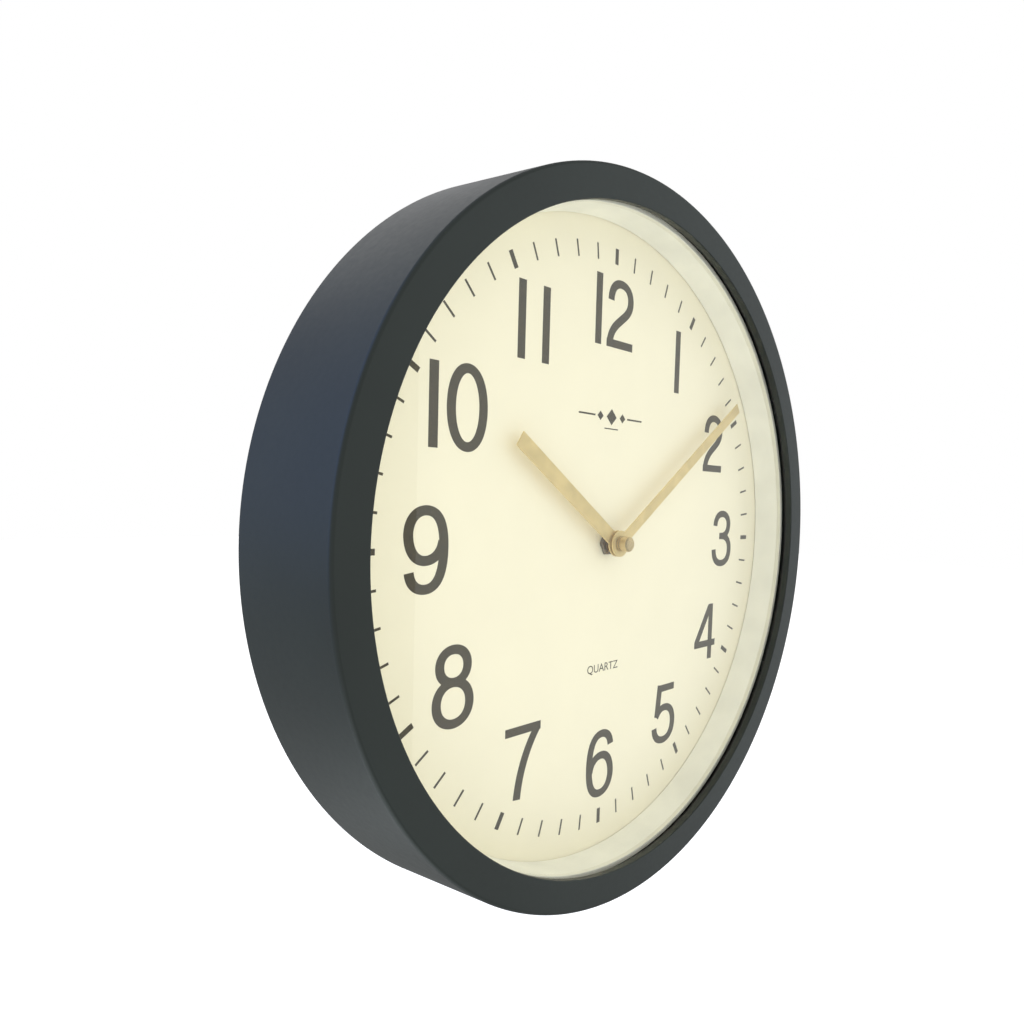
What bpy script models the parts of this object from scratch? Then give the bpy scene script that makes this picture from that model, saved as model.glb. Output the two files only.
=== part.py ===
"""A schoolhouse wall clock: a round painted case with a flat front ring, a cream dial set back behind
flat glass, two baton hands, and a battery quartz movement that the clock hangs from.

The clock is modelled in its own frame, in metres: +X to the right of the dial, +Y up to 12 o'clock,
+Z out of the dial towards the person reading it, origin in the middle of the case. Depths along the
axis are measured back from the case's front face, and level() turns them into Z. The root empty then
stands the clock up, so that the dial faces -Y and 12 o'clock points to +Z.
"""

import math

import bmesh
import bpy
from mathutils import Matrix

MM = 0.001

# ---- Driving dimensions --------------------------------------------------------------------------
CASE_DIAMETER = 305.0 * MM
CAP_TO_GLASS = 3.2 * MM  # front of the hands' cap nut to the back of the glass
REAR_CLEARANCE = 0.9 * MM  # hindmost piece of the movement to the wall

# Clearances
TOUCH_GAP = 0.3 * MM  # between faces that rest on each other
RUN_GAP = 0.1 * MM  # round a shaft in its bearing
SEAT_GAP = 0.6 * MM  # round the edge of a plate in the case
LAYER_GAP = 0.7 * MM  # between one wheel and the next along the axis
CUT_PAST = 1.0 * MM  # of a cutter beyond the faces it opens

# Case
CASE_WALL = 3.0 * MM
FLANGE_WIDTH = 13.3 * MM
FLANGE_THICKNESS = 3.3 * MM
CASE_EDGE_RADIUS = 1.4 * MM
LIP_EDGE_RADIUS = 0.7 * MM
RIM_EDGE_RADIUS = 0.8 * MM
BOSS_COUNT = 6
BOSS_TO_WALL = 0.2 * MM
BOSS_TO_GLASS = 1.1 * MM
BOSS_OVERLAP = 0.6 * MM  # of a boss into the flange that carries it

# Glass, gasket, reflector ring, dial and backing board
GLASS_SEAT = 2.4 * MM  # of the glass under the flange
GLASS_THICKNESS = 2.0 * MM
GASKET_WIDTH = 1.8 * MM
GASKET_THICKNESS = 0.8 * MM
RING_SETBACK = 0.2 * MM  # the ring's mouth is this much wider than the case's opening
RING_DRAFT = 1.7 * MM  # the ring narrows by this much towards the dial
RING_WALL = 1.5 * MM
RING_FLANGE = 1.4 * MM
DIAL_THICKNESS = 0.6 * MM
BOARD_THICKNESS = 2.5 * MM

# Board screws
SCREW_RADIUS = 1.3 * MM
SCREW_LENGTH = 9.0 * MM
SCREW_HEAD_INSET = 0.2 * MM  # of the head's edge from the edge of its boss
SCREW_HEAD_HEIGHT = 2.0 * MM
SCREW_HEAD_EDGE = 0.7 * MM
SCREW_POINT_LENGTH = 1.0 * MM
SCREW_POINT_RADIUS = 0.8 * MM
SCREW_RECESS_RADIUS = 0.9 * MM
SCREW_RECESS_DEPTH = 1.2 * MM

# Hands and the stack that carries them
TIP_MARGIN = 16.2 * MM  # minute hand's tip to the foot of the reflector ring
HOUR_HAND_SHORTER = 47.1 * MM
HOUR_HAND_WIDTH = 6.5 * MM
MINUTE_HAND_WIDTH = 5.0 * MM
HAND_EYE_RADIUS = 5.8 * MM
HAND_THICKNESS = 0.6 * MM
HOUR_HAND_HEIGHT = 5.1 * MM  # back of the blade above the dial
HAND_SPACING = 1.2 * MM  # between the two blades
COLLET_WALL = 0.6 * MM
NUT_ACROSS_FLATS = 10.0 * MM
NUT_THICKNESS = 1.6 * MM
BUSHING_RADIUS = 3.9 * MM
BUSHING_PROUD = 0.5 * MM  # of the bushing in front of its nut
HOUR_PIPE_WALL = 0.8 * MM
CANNON_RADIUS = 1.5 * MM
STUD_RADIUS = 1.1 * MM
CAP_RADIUS = 3.3 * MM
CAP_LENGTH = 5.0 * MM
CAP_FLOOR = 1.4 * MM
CAP_CHAMFER = 0.5 * MM
HOUR_HAND_ANGLE = math.radians(303.8)  # clockwise from 12
MINUTE_HAND_ANGLE = math.radians(54.9)

# Washer and hanger plate
WASHER_RADIUS = 9.0 * MM
WASHER_THICKNESS = 0.8 * MM
HANGER_THICKNESS = 0.8 * MM
HANGER_WIDTH = 22.0 * MM
HANGER_TAIL = 10.0 * MM  # below the bushing
HANGER_UPRIGHT = 17.0 * MM
HANGER_BEND = 1.5 * MM
HANGER_TO_HOUSING = 1.2 * MM
HANGER_STEP = 14.3 * MM  # from the plate's foot back to its upright
KEYHOLE_RADIUS = 4.0 * MM
KEYHOLE_SLOT = 2.2 * MM
KEYHOLE_RISE = 4.6 * MM
KEYHOLE_ABOVE_BEND = 1.0 * MM

# Movement housing
HOUSING_WALL = 1.5 * MM
HOUSING_CORNER = 2.0 * MM
HOUSING_TOP = 27.0 * MM  # above the hands' axis
WHEEL_TO_WALL = 1.4 * MM  # from the centre wheel's teeth to the battery bay
BAY_WALL = 1.2 * MM
BRIDGE_THICKNESS = 1.0 * MM
COVER_THICKNESS = 1.5 * MM
COVER_GAP = 0.45 * MM
POST_RADIUS = 1.2 * MM
PIN_RADIUS = 0.5 * MM
PILLAR_RADIUS = 1.5 * MM
PILLAR_TIP_RADIUS = 0.8 * MM
PILLAR_INSET = 2.6 * MM  # from the edge of the bridge or the room
LEFT_PILLAR_INSET = 3.0 * MM
LOWER_PILLAR_RIGHT = 12.2 * MM  # of the hands' axis
RIGHT_PILLAR_HEIGHT = 9.0 * MM  # above the hands' axis
PIVOT_SOCKET = 1.4 * MM  # depth of a blind bearing

# Battery
BATTERY_RADIUS = 7.1 * MM
BATTERY_BODY = 49.2 * MM
BATTERY_NUB_RADIUS = 2.7 * MM
BATTERY_NUB = 1.3 * MM
BATTERY_EDGE = 0.6 * MM
CONTACT_THICKNESS = 0.4 * MM
CONTACT_HEIGHT = 9.0 * MM
CONTACT_DEPTH = 8.0 * MM
SPRING_REACH = 1.6 * MM
SPRING_FOLD = 0.6 * MM
SPRING_SHORTER = 1.0 * MM  # of the free leaf than the fixed one

# Wheels: teeth, and the module or centre distance that sets the rest
WHEEL_THICKNESS = 1.0 * MM
PINION_OVERHANG = 0.1 * MM
ADDENDUM = 0.85
DEDENDUM = 1.2
BACKLASH = 0.25
PRESSURE_ANGLE = math.radians(20)
CANNON_TEETH, MINUTE_WHEEL_TEETH = 10, 30
MINUTE_PINION_TEETH, HOUR_WHEEL_TEETH = 8, 32
KNOB_TEETH = 10
THIRD_PINION_TEETH, CENTRE_WHEEL_TEETH = 8, 60
SECONDS_PINION_TEETH, THIRD_WHEEL_TEETH = 8, 64
INTERMEDIATE_PINION_TEETH, SECONDS_WHEEL_TEETH = 8, 40
ROTOR_TEETH, INTERMEDIATE_WHEEL_TEETH = 8, 48
MOTION_MODULE = 0.42 * MM
THIRD_MODULE = 0.30 * MM
SECONDS_MODULE = 0.35 * MM
ROTOR_MODULE = 0.27 * MM
MINUTE_WHEEL_BEARING = math.radians(200)
KNOB_BEARING = math.radians(200)
THIRD_WHEEL_BEARING = math.radians(150)
INTERMEDIATE_BEARING = math.radians(55)
ROTOR_BEARING = math.radians(40)

# Setting knob
KNOB_SHAFT_RADIUS = 1.1 * MM
KNOB_RADIUS = 5.4 * MM
KNOB_THICKNESS = 1.8 * MM
KNOB_NOTCHES = 18
KNOB_NOTCH_DEPTH = 0.35 * MM

# Stepping motor and electronics
MAGNET_RADIUS = 3.0 * MM
MAGNET_THICKNESS = 2.0 * MM
ROTOR_AIR_GAP = 0.5 * MM
STATOR_THICKNESS = 1.0 * MM
STATOR_LEG = 4.0 * MM
STATOR_MARGIN = 1.2 * MM  # of stator below the rotor's hole
COIL_LENGTH = 10.6 * MM
COIL_RADIUS = 3.9 * MM
COIL_FLANGE = 0.8 * MM
BOBBIN_RADIUS = 2.2 * MM
BOBBIN_BORE = 1.9 * MM
CORE_WIDTH = 2.6 * MM
COIL_TO_STATOR = 1.0 * MM
COIL_RIGHT_OF_ROTOR = 0.9 * MM
CIRCUIT_WIDTH = 10.0 * MM
CIRCUIT_HEIGHT = 15.0 * MM
CIRCUIT_THICKNESS = 1.0 * MM
CIRCUIT_TO_WALL = 1.2 * MM
CHIP_RADIUS = 2.6 * MM
CHIP_CROWN_RADIUS = 1.5 * MM
CHIP_HEIGHT = 1.2 * MM
CHIP_FROM_TOP = 4.5 * MM  # of the circuit board to the middle of the chip
CRYSTAL_RADIUS = 1.0 * MM
CRYSTAL_LENGTH = 6.0 * MM

# Facets round a full turn
CASE_SEGMENTS = 72
EYE_SEGMENTS = 28
SHAFT_SEGMENTS = 20
SMALL_SEGMENTS = 12

# ---- Depths behind the front face, one piece behind the other ------------------------------------
GASKET_DEPTH = FLANGE_THICKNESS + TOUCH_GAP
GLASS_DEPTH = GASKET_DEPTH + GASKET_THICKNESS + TOUCH_GAP
GLASS_BACK = GLASS_DEPTH + GLASS_THICKNESS
RING_DEPTH = GLASS_BACK + TOUCH_GAP
CAP_FRONT = GLASS_BACK + CAP_TO_GLASS
CAP_BACK = CAP_FRONT + CAP_LENGTH
MINUTE_HAND_FRONT = CAP_BACK + TOUCH_GAP
MINUTE_HAND_BACK = MINUTE_HAND_FRONT + HAND_THICKNESS
CANNON_SHOULDER = MINUTE_HAND_BACK + TOUCH_GAP
HOUR_HAND_FRONT = MINUTE_HAND_BACK + HAND_SPACING
HOUR_HAND_BACK = HOUR_HAND_FRONT + HAND_THICKNESS
DIAL_FACE = HOUR_HAND_BACK + HOUR_HAND_HEIGHT
NUT_BACK = DIAL_FACE - TOUCH_GAP
NUT_FRONT = NUT_BACK - NUT_THICKNESS
BUSHING_FRONT = NUT_FRONT - BUSHING_PROUD
COLLET_BACK = BUSHING_FRONT - TOUCH_GAP
DIAL_BACK = DIAL_FACE + DIAL_THICKNESS
BOARD_DEPTH = DIAL_BACK + TOUCH_GAP
BOARD_BACK = BOARD_DEPTH + BOARD_THICKNESS
WASHER_DEPTH = BOARD_BACK + TOUCH_GAP
HANGER_DEPTH = WASHER_DEPTH + WASHER_THICKNESS + TOUCH_GAP
HOUSING_DEPTH = HANGER_DEPTH + HANGER_THICKNESS + TOUCH_GAP
HOUSING_FLOOR = HOUSING_DEPTH + HOUSING_WALL
LAYER_PITCH = WHEEL_THICKNESS + LAYER_GAP
HOUR_LAYER = HOUSING_FLOOR + LAYER_GAP - PINION_OVERHANG
MINUTE_LAYER = HOUR_LAYER + LAYER_PITCH
CENTRE_LAYER = MINUTE_LAYER + LAYER_PITCH
THIRD_LAYER = CENTRE_LAYER + LAYER_PITCH
SECONDS_LAYER = THIRD_LAYER + LAYER_PITCH
INTERMEDIATE_LAYER = SECONDS_LAYER + LAYER_PITCH
BRIDGE_DEPTH = INTERMEDIATE_LAYER + LAYER_PITCH
COVER_DEPTH = BRIDGE_DEPTH + BRIDGE_THICKNESS + COVER_GAP
HOUSING_BACK = COVER_DEPTH + COVER_THICKNESS
KNOB_DEPTH = HOUSING_BACK + COVER_GAP
KNOB_BACK = KNOB_DEPTH + KNOB_THICKNESS
BATTERY_AXIS_DEPTH = HOUSING_FLOOR + TOUCH_GAP + BATTERY_RADIUS
CASE_DEPTH = max(KNOB_BACK, BATTERY_AXIS_DEPTH + BATTERY_RADIUS) + REAR_CLEARANCE

# ---- Radii and places that follow ----------------------------------------------------------------
CASE_RADIUS = CASE_DIAMETER / 2
WALL_INNER_RADIUS = CASE_RADIUS - CASE_WALL
OPENING_RADIUS = CASE_RADIUS - FLANGE_WIDTH
GLASS_RADIUS = OPENING_RADIUS + GLASS_SEAT
RING_FOOT_RADIUS = OPENING_RADIUS + RING_SETBACK - RING_DRAFT
BOSS_RADIUS = (WALL_INNER_RADIUS - BOSS_TO_WALL - GLASS_RADIUS - BOSS_TO_GLASS) / 2
BOSS_CIRCLE = GLASS_RADIUS + BOSS_TO_GLASS + BOSS_RADIUS
SCREW_HEAD_RADIUS = BOSS_RADIUS - SCREW_HEAD_INSET
BOARD_RADIUS = WALL_INNER_RADIUS - SEAT_GAP
MINUTE_HAND_LENGTH = RING_FOOT_RADIUS - TIP_MARGIN
HOUR_HAND_LENGTH = MINUTE_HAND_LENGTH - HOUR_HAND_SHORTER
HOUR_BORE = CANNON_RADIUS + RUN_GAP
HOUR_PIPE_RADIUS = HOUR_BORE + HOUR_PIPE_WALL
BUSHING_BORE = HOUR_PIPE_RADIUS + RUN_GAP
BUSHING_HOLE = BUSHING_RADIUS + TOUCH_GAP
CENTRE_SHANK_RADIUS = CANNON_RADIUS - RUN_GAP
SECONDS_ARBOR_RADIUS = CENTRE_SHANK_RADIUS / 2

MOTION_DISTANCE = MOTION_MODULE * (CANNON_TEETH + MINUTE_WHEEL_TEETH) / 2
HOUR_MODULE = 2 * MOTION_DISTANCE / (MINUTE_PINION_TEETH + HOUR_WHEEL_TEETH)
KNOB_DISTANCE = MOTION_MODULE * (KNOB_TEETH + MINUTE_WHEEL_TEETH) / 2
THIRD_DISTANCE = THIRD_MODULE * (SECONDS_PINION_TEETH + THIRD_WHEEL_TEETH) / 2
CENTRE_MODULE = 2 * THIRD_DISTANCE / (THIRD_PINION_TEETH + CENTRE_WHEEL_TEETH)
MECHANISM_FLOOR = CENTRE_MODULE * (CENTRE_WHEEL_TEETH / 2 + ADDENDUM) + WHEEL_TO_WALL
INTERMEDIATE_DISTANCE = SECONDS_MODULE * (INTERMEDIATE_PINION_TEETH + SECONDS_WHEEL_TEETH) / 2
ROTOR_DISTANCE = ROTOR_MODULE * (ROTOR_TEETH + INTERMEDIATE_WHEEL_TEETH) / 2


def polar(distance, bearing, start=(0.0, 0.0)):
    """The point at a distance and bearing (anticlockwise from +X) from a start."""
    return (start[0] + distance * math.cos(bearing), start[1] + distance * math.sin(bearing))


CENTRE_PLACE = (0.0, 0.0)
MINUTE_WHEEL_PLACE = polar(MOTION_DISTANCE, MINUTE_WHEEL_BEARING)
KNOB_PLACE = polar(KNOB_DISTANCE, KNOB_BEARING, MINUTE_WHEEL_PLACE)
THIRD_PLACE = polar(THIRD_DISTANCE, THIRD_WHEEL_BEARING)
INTERMEDIATE_PLACE = polar(INTERMEDIATE_DISTANCE, INTERMEDIATE_BEARING)
ROTOR_PLACE = polar(ROTOR_DISTANCE, ROTOR_BEARING, INTERMEDIATE_PLACE)

BAY_TOP = -(MECHANISM_FLOOR + BAY_WALL)
BATTERY_HEIGHT = BAY_TOP - TOUCH_GAP - BATTERY_RADIUS
BAY_BOTTOM = BATTERY_HEIGHT - BATTERY_RADIUS - TOUCH_GAP
HOUSING_BOTTOM = BAY_BOTTOM - HOUSING_WALL
BATTERY_LENGTH = BATTERY_BODY + BATTERY_NUB
POSITIVE_ROOM = CONTACT_THICKNESS + 2 * TOUCH_GAP
NEGATIVE_ROOM = CONTACT_THICKNESS + SPRING_REACH + 2 * TOUCH_GAP
BAY_LENGTH = BATTERY_LENGTH + POSITIVE_ROOM + NEGATIVE_ROOM
HOUSING_WIDTH = BAY_LENGTH + 2 * HOUSING_WALL
MECHANISM_HALF = BAY_LENGTH / 2
MECHANISM_TOP = HOUSING_TOP - HOUSING_WALL
BATTERY_CENTRE = -BAY_LENGTH / 2 + NEGATIVE_ROOM + BATTERY_BODY / 2

COIL_HEIGHT = MECHANISM_TOP - COIL_RADIUS - SEAT_GAP
STATOR_LAYER = THIRD_LAYER - TOUCH_GAP
CORE_LAYER = STATOR_LAYER + STATOR_THICKNESS + TOUCH_GAP
COIL_CENTRE = ROTOR_PLACE[0] + COIL_RIGHT_OF_ROTOR
STATOR_HALF = COIL_LENGTH / 2 + SEAT_GAP + STATOR_LEG
STATOR_BOTTOM = ROTOR_PLACE[1] - MAGNET_RADIUS - ROTOR_AIR_GAP - STATOR_MARGIN
STATOR_BRIDGE_TOP = COIL_HEIGHT - COIL_RADIUS - COIL_TO_STATOR
BRIDGE_TOP = COIL_HEIGHT - COIL_RADIUS - SEAT_GAP
PILLARS = (
    (-MECHANISM_HALF + LEFT_PILLAR_INSET, BRIDGE_TOP - PILLAR_INSET),
    (LOWER_PILLAR_RIGHT, -MECHANISM_FLOOR + PILLAR_INSET),
    (MECHANISM_HALF - PILLAR_INSET, RIGHT_PILLAR_HEIGHT),
)
BRIDGE_LEFT = PILLARS[0][0] - PILLAR_RADIUS - SEAT_GAP
BRIDGE_RIGHT = PILLARS[2][0] + PILLAR_RADIUS + TOUCH_GAP
BRIDGE_BOTTOM = PILLARS[1][1] - PILLAR_RADIUS - TOUCH_GAP
HANGER_SHELF = HOUSING_TOP + HANGER_TO_HOUSING
HANGER_TOP = HANGER_SHELF + HANGER_UPRIGHT
KEYHOLE_HEIGHT = HANGER_SHELF + HANGER_BEND + KEYHOLE_RADIUS + KEYHOLE_ABOVE_BEND


def level(depth):
    """Z of a depth behind the case's front face."""
    return CASE_DEPTH / 2 - depth


# ---- Scene, collections and materials ------------------------------------------------------------
def clear_scene():
    """Remove whatever the scene holds."""
    for old in list(bpy.data.objects):
        bpy.data.objects.remove(old, do_unlink=True)


def new_collection(name):
    """A collection linked to the scene."""
    collection = bpy.data.collections.new(name)
    bpy.context.scene.collection.children.link(collection)
    return collection


clear_scene()
PARTS = new_collection("schoolhouse_wall_clock")
CUTTERS = new_collection("clock_cutters")
ROOT = bpy.data.objects.new("clock_root", None)
PARTS.objects.link(ROOT)
ROOT.rotation_euler = (math.pi / 2, 0.0, 0.0)


def material(name, colour, roughness, metallic=0.0, alpha=1.0):
    """A Principled material with a plain colour."""
    made = bpy.data.materials.new(name)
    made.use_nodes = True
    shader = made.node_tree.nodes["Principled BSDF"]
    shader.inputs["Base Color"].default_value = (*colour, 1.0)
    shader.inputs["Roughness"].default_value = roughness
    shader.inputs["Metallic"].default_value = metallic
    shader.inputs["Alpha"].default_value = alpha
    return made


# ---- Shape helpers -------------------------------------------------------------------------------
def place(obj, where=CENTRE_PLACE, depth_z=0.0, turn=0.0, parent=None):
    """Put an object at a place on the dial plane, at a height, turned about its own axis."""
    obj.location = (where[0], where[1], depth_z)
    obj.rotation_euler = (0.0, 0.0, turn)
    obj.parent = parent or ROOT
    return obj


def finish(obj, look, smooth=True):
    """Link an object as a part, with its material, and with smooth round faces unless it is flat-sided."""
    PARTS.objects.link(obj)
    obj.data.materials.append(look)
    if smooth:
        obj.data.shade_smooth()
        obj.data.set_sharp_from_angle(angle=math.radians(30))
    return obj


def as_cutter(obj):
    """Link an object as a helper that is never rendered."""
    CUTTERS.objects.link(obj)
    obj.hide_render = True
    obj.display_type = "WIRE"
    return obj


def combine(target, tool, operation):
    """Add a Boolean modifier to the target."""
    modifier = target.modifiers.new(f"{operation.lower()} {tool.name}", "BOOLEAN")
    modifier.operation = operation
    modifier.object = tool
    modifier.solver = "EXACT"


def turned(name, profile, segments, closed=False):
    """A profile of (radius, z) points turned about Z by a Screw modifier.

    The profile runs down its outer side from top to bottom. A closed one is a ring's section.
    """
    shape = bmesh.new()
    corners = [shape.verts.new((radius, 0.0, z)) for radius, z in profile]
    for first, second in zip(corners, corners[1:]):
        shape.edges.new((first, second))
    if closed:
        shape.edges.new((corners[-1], corners[0]))
    mesh = bpy.data.meshes.new(name)
    shape.to_mesh(mesh)
    shape.free()
    obj = bpy.data.objects.new(name, mesh)
    screw = obj.modifiers.new("turn", "SCREW")
    screw.steps = segments
    screw.render_steps = segments
    screw.use_merge_vertices = True
    screw.merge_threshold = 0.000001
    screw.use_smooth_shade = True
    return obj


def rod(name, radius, top, bottom, segments=SHAFT_SEGMENTS):
    """A plain round bar along Z."""
    return turned(name, [(0.0, top), (radius, top), (radius, bottom), (0.0, bottom)], segments)


def arc(centre, radius, start, end, steps):
    """Points on an arc, in degrees, anticlockwise when end is over start."""
    angles = [math.radians(start + (end - start) * i / steps) for i in range(steps + 1)]
    return [(centre[0] + radius * math.cos(a), centre[1] + radius * math.sin(a)) for a in angles]


def circle(radius, segments, centre=CENTRE_PLACE):
    """The corners of a round outline."""
    return arc(centre, radius, 0, 360 * (segments - 1) / segments, segments - 1)


def rounded_box(left, bottom, right, top, corner, steps=4):
    """The outline of a rectangle with round corners."""
    return (
        arc((right - corner, top - corner), corner, 0, 90, steps)
        + arc((left + corner, top - corner), corner, 90, 180, steps)
        + arc((left + corner, bottom + corner), corner, 180, 270, steps)
        + arc((right - corner, bottom + corner), corner, 270, 360, steps)
    )


def plate(name, outlines, top, bottom):
    """A flat piece between two heights from an outline and the outlines of its holes."""
    curve = bpy.data.curves.new(name, "CURVE")
    curve.dimensions = "2D"
    curve.fill_mode = "BOTH"
    curve.extrude = (top - bottom) / 2
    for outline in outlines:
        spline = curve.splines.new("POLY")
        spline.points.add(len(outline) - 1)
        for point, (x, y) in zip(spline.points, outline):
            point.co = (x, y, 0.0, 1.0)
        spline.use_cyclic_u = True
    drawn = bpy.data.objects.new(name, curve)
    bpy.context.scene.collection.objects.link(drawn)
    graph = bpy.context.evaluated_depsgraph_get()
    mesh = bpy.data.meshes.new_from_object(drawn.evaluated_get(graph))
    bpy.data.objects.remove(drawn, do_unlink=True)
    bpy.data.curves.remove(curve)
    shape = bmesh.new()
    shape.from_mesh(mesh)
    bmesh.ops.remove_doubles(shape, verts=shape.verts, dist=0.000001)
    bmesh.ops.translate(shape, verts=shape.verts, vec=(0.0, 0.0, (top + bottom) / 2))
    shape.to_mesh(mesh)
    shape.free()
    mesh.name = name
    return bpy.data.objects.new(name, mesh)


def block(name, left, bottom, right, top, front, back):
    """A plain box between two corners on the dial plane and two heights."""
    shape = bmesh.new()
    size = Matrix.Diagonal((right - left, top - bottom, front - back, 1.0))
    centre = Matrix.Translation(((left + right) / 2, (bottom + top) / 2, (front + back) / 2))
    bmesh.ops.create_cube(shape, size=1.0, matrix=centre @ size)
    mesh = bpy.data.meshes.new(name)
    shape.to_mesh(mesh)
    shape.free()
    return bpy.data.objects.new(name, mesh)


def ring_of_rods(name, radius, top, bottom):
    """Equal round bars, one at each screw boss, as one helper mesh."""
    shape = bmesh.new()
    for index in range(BOSS_COUNT):
        x, y = polar(BOSS_CIRCLE, boss_bearing(index))
        bmesh.ops.create_cone(
            shape,
            cap_ends=True,
            segments=SMALL_SEGMENTS,
            radius1=radius,
            radius2=radius,
            depth=top - bottom,
            matrix=Matrix.Translation((x, y, (top + bottom) / 2)),
        )
    mesh = bpy.data.meshes.new(name)
    shape.to_mesh(mesh)
    shape.free()
    return bpy.data.objects.new(name, mesh)


def boss_bearing(index):
    """The bearing of a screw boss, the first of them half a step from +X."""
    return 2 * math.pi * (index + 0.5) / BOSS_COUNT


def cut_hole(target, name, where, radius, top, bottom, segments=SHAFT_SEGMENTS):
    """Cut a round hole along Z at a place on the dial plane."""
    tool = as_cutter(rod(f"cut_{name}", radius, top, bottom, segments))
    place(tool, where)
    combine(target, tool, "DIFFERENCE")


def add_rod(target, name, where, radius, top, bottom, segments=SHAFT_SEGMENTS):
    """Join a round bar along Z to the target."""
    tool = as_cutter(rod(f"add_{name}", radius, top, bottom, segments))
    place(tool, where)
    combine(target, tool, "UNION")


# ---- Gears ---------------------------------------------------------------------------------------
def involute(angle):
    """The involute function of a pressure angle."""
    return math.tan(angle) - angle


def gear_outline(teeth, module, phase):
    """Teeth with straight flanks drawn through the true width at root and tip."""
    pitch_radius = module * teeth / 2
    base_radius = pitch_radius * math.cos(PRESSURE_ANGLE)
    tip_radius = pitch_radius + ADDENDUM * module
    root_radius = pitch_radius - DEDENDUM * module
    pitch_half = math.pi / (2 * teeth) - BACKLASH * module / (2 * pitch_radius)

    def half_width(radius):
        angle = math.acos(base_radius / radius) if radius > base_radius else 0.0
        return pitch_half + involute(PRESSURE_ANGLE) - involute(angle)

    points = []
    for tooth in range(teeth):
        middle = phase + 2 * math.pi * tooth / teeth
        for radius, side in ((root_radius, -1), (tip_radius, -1), (tip_radius, 1), (root_radius, 1)):
            points.append(polar(radius, middle + side * half_width(radius)))
    return points


def meshed_phase(driver_teeth, driver_phase, bearing, driven_teeth):
    """The phase that puts a driven gear in mesh with its driver, which lies back along the bearing."""
    driver_pitch = 2 * math.pi / driver_teeth
    driven_pitch = 2 * math.pi / driven_teeth
    offset = (bearing - driver_phase) / driver_pitch
    return bearing + math.pi - driven_pitch * (0.5 - offset)


def gear(name, teeth, module, phase, depth, thickness=WHEEL_THICKNESS):
    """A toothed disc whose front face is at a depth."""
    return plate(name, [gear_outline(teeth, module, phase)], level(depth), level(depth + thickness))


def wheel_with_pinion(name, wheel, pinion, bore, look, where):
    """A wheel with a pinion in front of it, on one bore.

    wheel is (teeth, module, phase, depth). pinion is (teeth, module, phase), and reaches forward
    over the layer in front.
    """
    body = finish(gear(name, *wheel), look, smooth=False)
    front = wheel[3] - LAYER_PITCH - PINION_OVERHANG
    back = wheel[3] + WHEEL_THICKNESS + PINION_OVERHANG
    toothed = gear(f"add_{name}_pinion", *pinion, front, back - front)
    combine(body, as_cutter(place(toothed, where)), "UNION")
    cut_hole(body, f"{name}_bore", where, bore, level(front) + CUT_PAST, level(back) - CUT_PAST)
    return place(body, where)


# ---- Looks ---------------------------------------------------------------------------------------
CASE_PAINT = material("charcoal_green_paint", (0.045, 0.055, 0.052), 0.5)
GLASS_LOOK = material("clear_glass", (0.9, 0.95, 0.93), 0.02, alpha=0.15)
RUBBER = material("black_rubber", (0.02, 0.02, 0.02), 0.8)
RING_PAINT = material("cream_ring", (0.75, 0.73, 0.60), 0.6)
DIAL_CARD = material("cream_dial", (0.88, 0.85, 0.68), 0.7)
BOARD_LOOK = material("brown_hardboard", (0.23, 0.13, 0.07), 0.8)
STEEL = material("zinc_plated_steel", (0.62, 0.62, 0.60), 0.35, 1.0)
DARK_STEEL = material("dark_steel", (0.20, 0.19, 0.17), 0.4, 1.0)
GOLD = material("champagne_gold", (0.60, 0.47, 0.24), 0.35, 1.0)
BRASS = material("brass", (0.70, 0.52, 0.22), 0.3, 1.0)
BLACK_PLASTIC = material("black_plastic", (0.025, 0.025, 0.025), 0.5)
WHITE_PLASTIC = material("white_acetal", (0.80, 0.80, 0.76), 0.45)
BLUE_PLASTIC = material("blue_acetal", (0.08, 0.20, 0.42), 0.45)
RED_PLASTIC = material("red_plastic", (0.45, 0.05, 0.04), 0.45)
COPPER = material("enamelled_copper", (0.60, 0.25, 0.10), 0.4, 1.0)
CIRCUIT_GREEN = material("circuit_board_green", (0.03, 0.16, 0.07), 0.5)
MAGNET = material("sintered_magnet", (0.10, 0.10, 0.11), 0.5, 0.6)
BATTERY_SLEEVE = material("plain_battery_sleeve", (0.05, 0.10, 0.22), 0.35)


# ---- Case, glass and dial ------------------------------------------------------------------------
def make_case():
    """The painted case: a straight wall with a flat front flange, and bosses for the board's screws."""
    front, back = level(0.0), level(CASE_DEPTH)
    flange_back = level(FLANGE_THICKNESS)
    edge = (CASE_RADIUS - CASE_EDGE_RADIUS, front - CASE_EDGE_RADIUS)
    lip = (OPENING_RADIUS + LIP_EDGE_RADIUS, front - LIP_EDGE_RADIUS)
    rim = (CASE_RADIUS - RIM_EDGE_RADIUS, back + RIM_EDGE_RADIUS)
    profile = (
        arc(lip, LIP_EDGE_RADIUS, 180, 90, 1)
        + arc(edge, CASE_EDGE_RADIUS, 90, 0, 2)
        + arc(rim, RIM_EDGE_RADIUS, 0, -90, 1)
        + [(WALL_INNER_RADIUS, back), (WALL_INNER_RADIUS, flange_back), (OPENING_RADIUS, flange_back)]
    )
    case = finish(turned("case_shell", profile, CASE_SEGMENTS, closed=True), CASE_PAINT)
    top = flange_back + BOSS_OVERLAP
    end = level(BOARD_DEPTH - TOUCH_GAP)
    bosses = ring_of_rods("add_bosses", BOSS_RADIUS, top, end)
    combine(case, as_cutter(place(bosses)), "UNION")
    pilot_top = end + SCREW_LENGTH
    pilot = SCREW_RADIUS + TOUCH_GAP
    pilots = ring_of_rods("cut_pilots", pilot, pilot_top, end - CUT_PAST)
    combine(case, as_cutter(place(pilots)), "DIFFERENCE")
    place(case)


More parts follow.
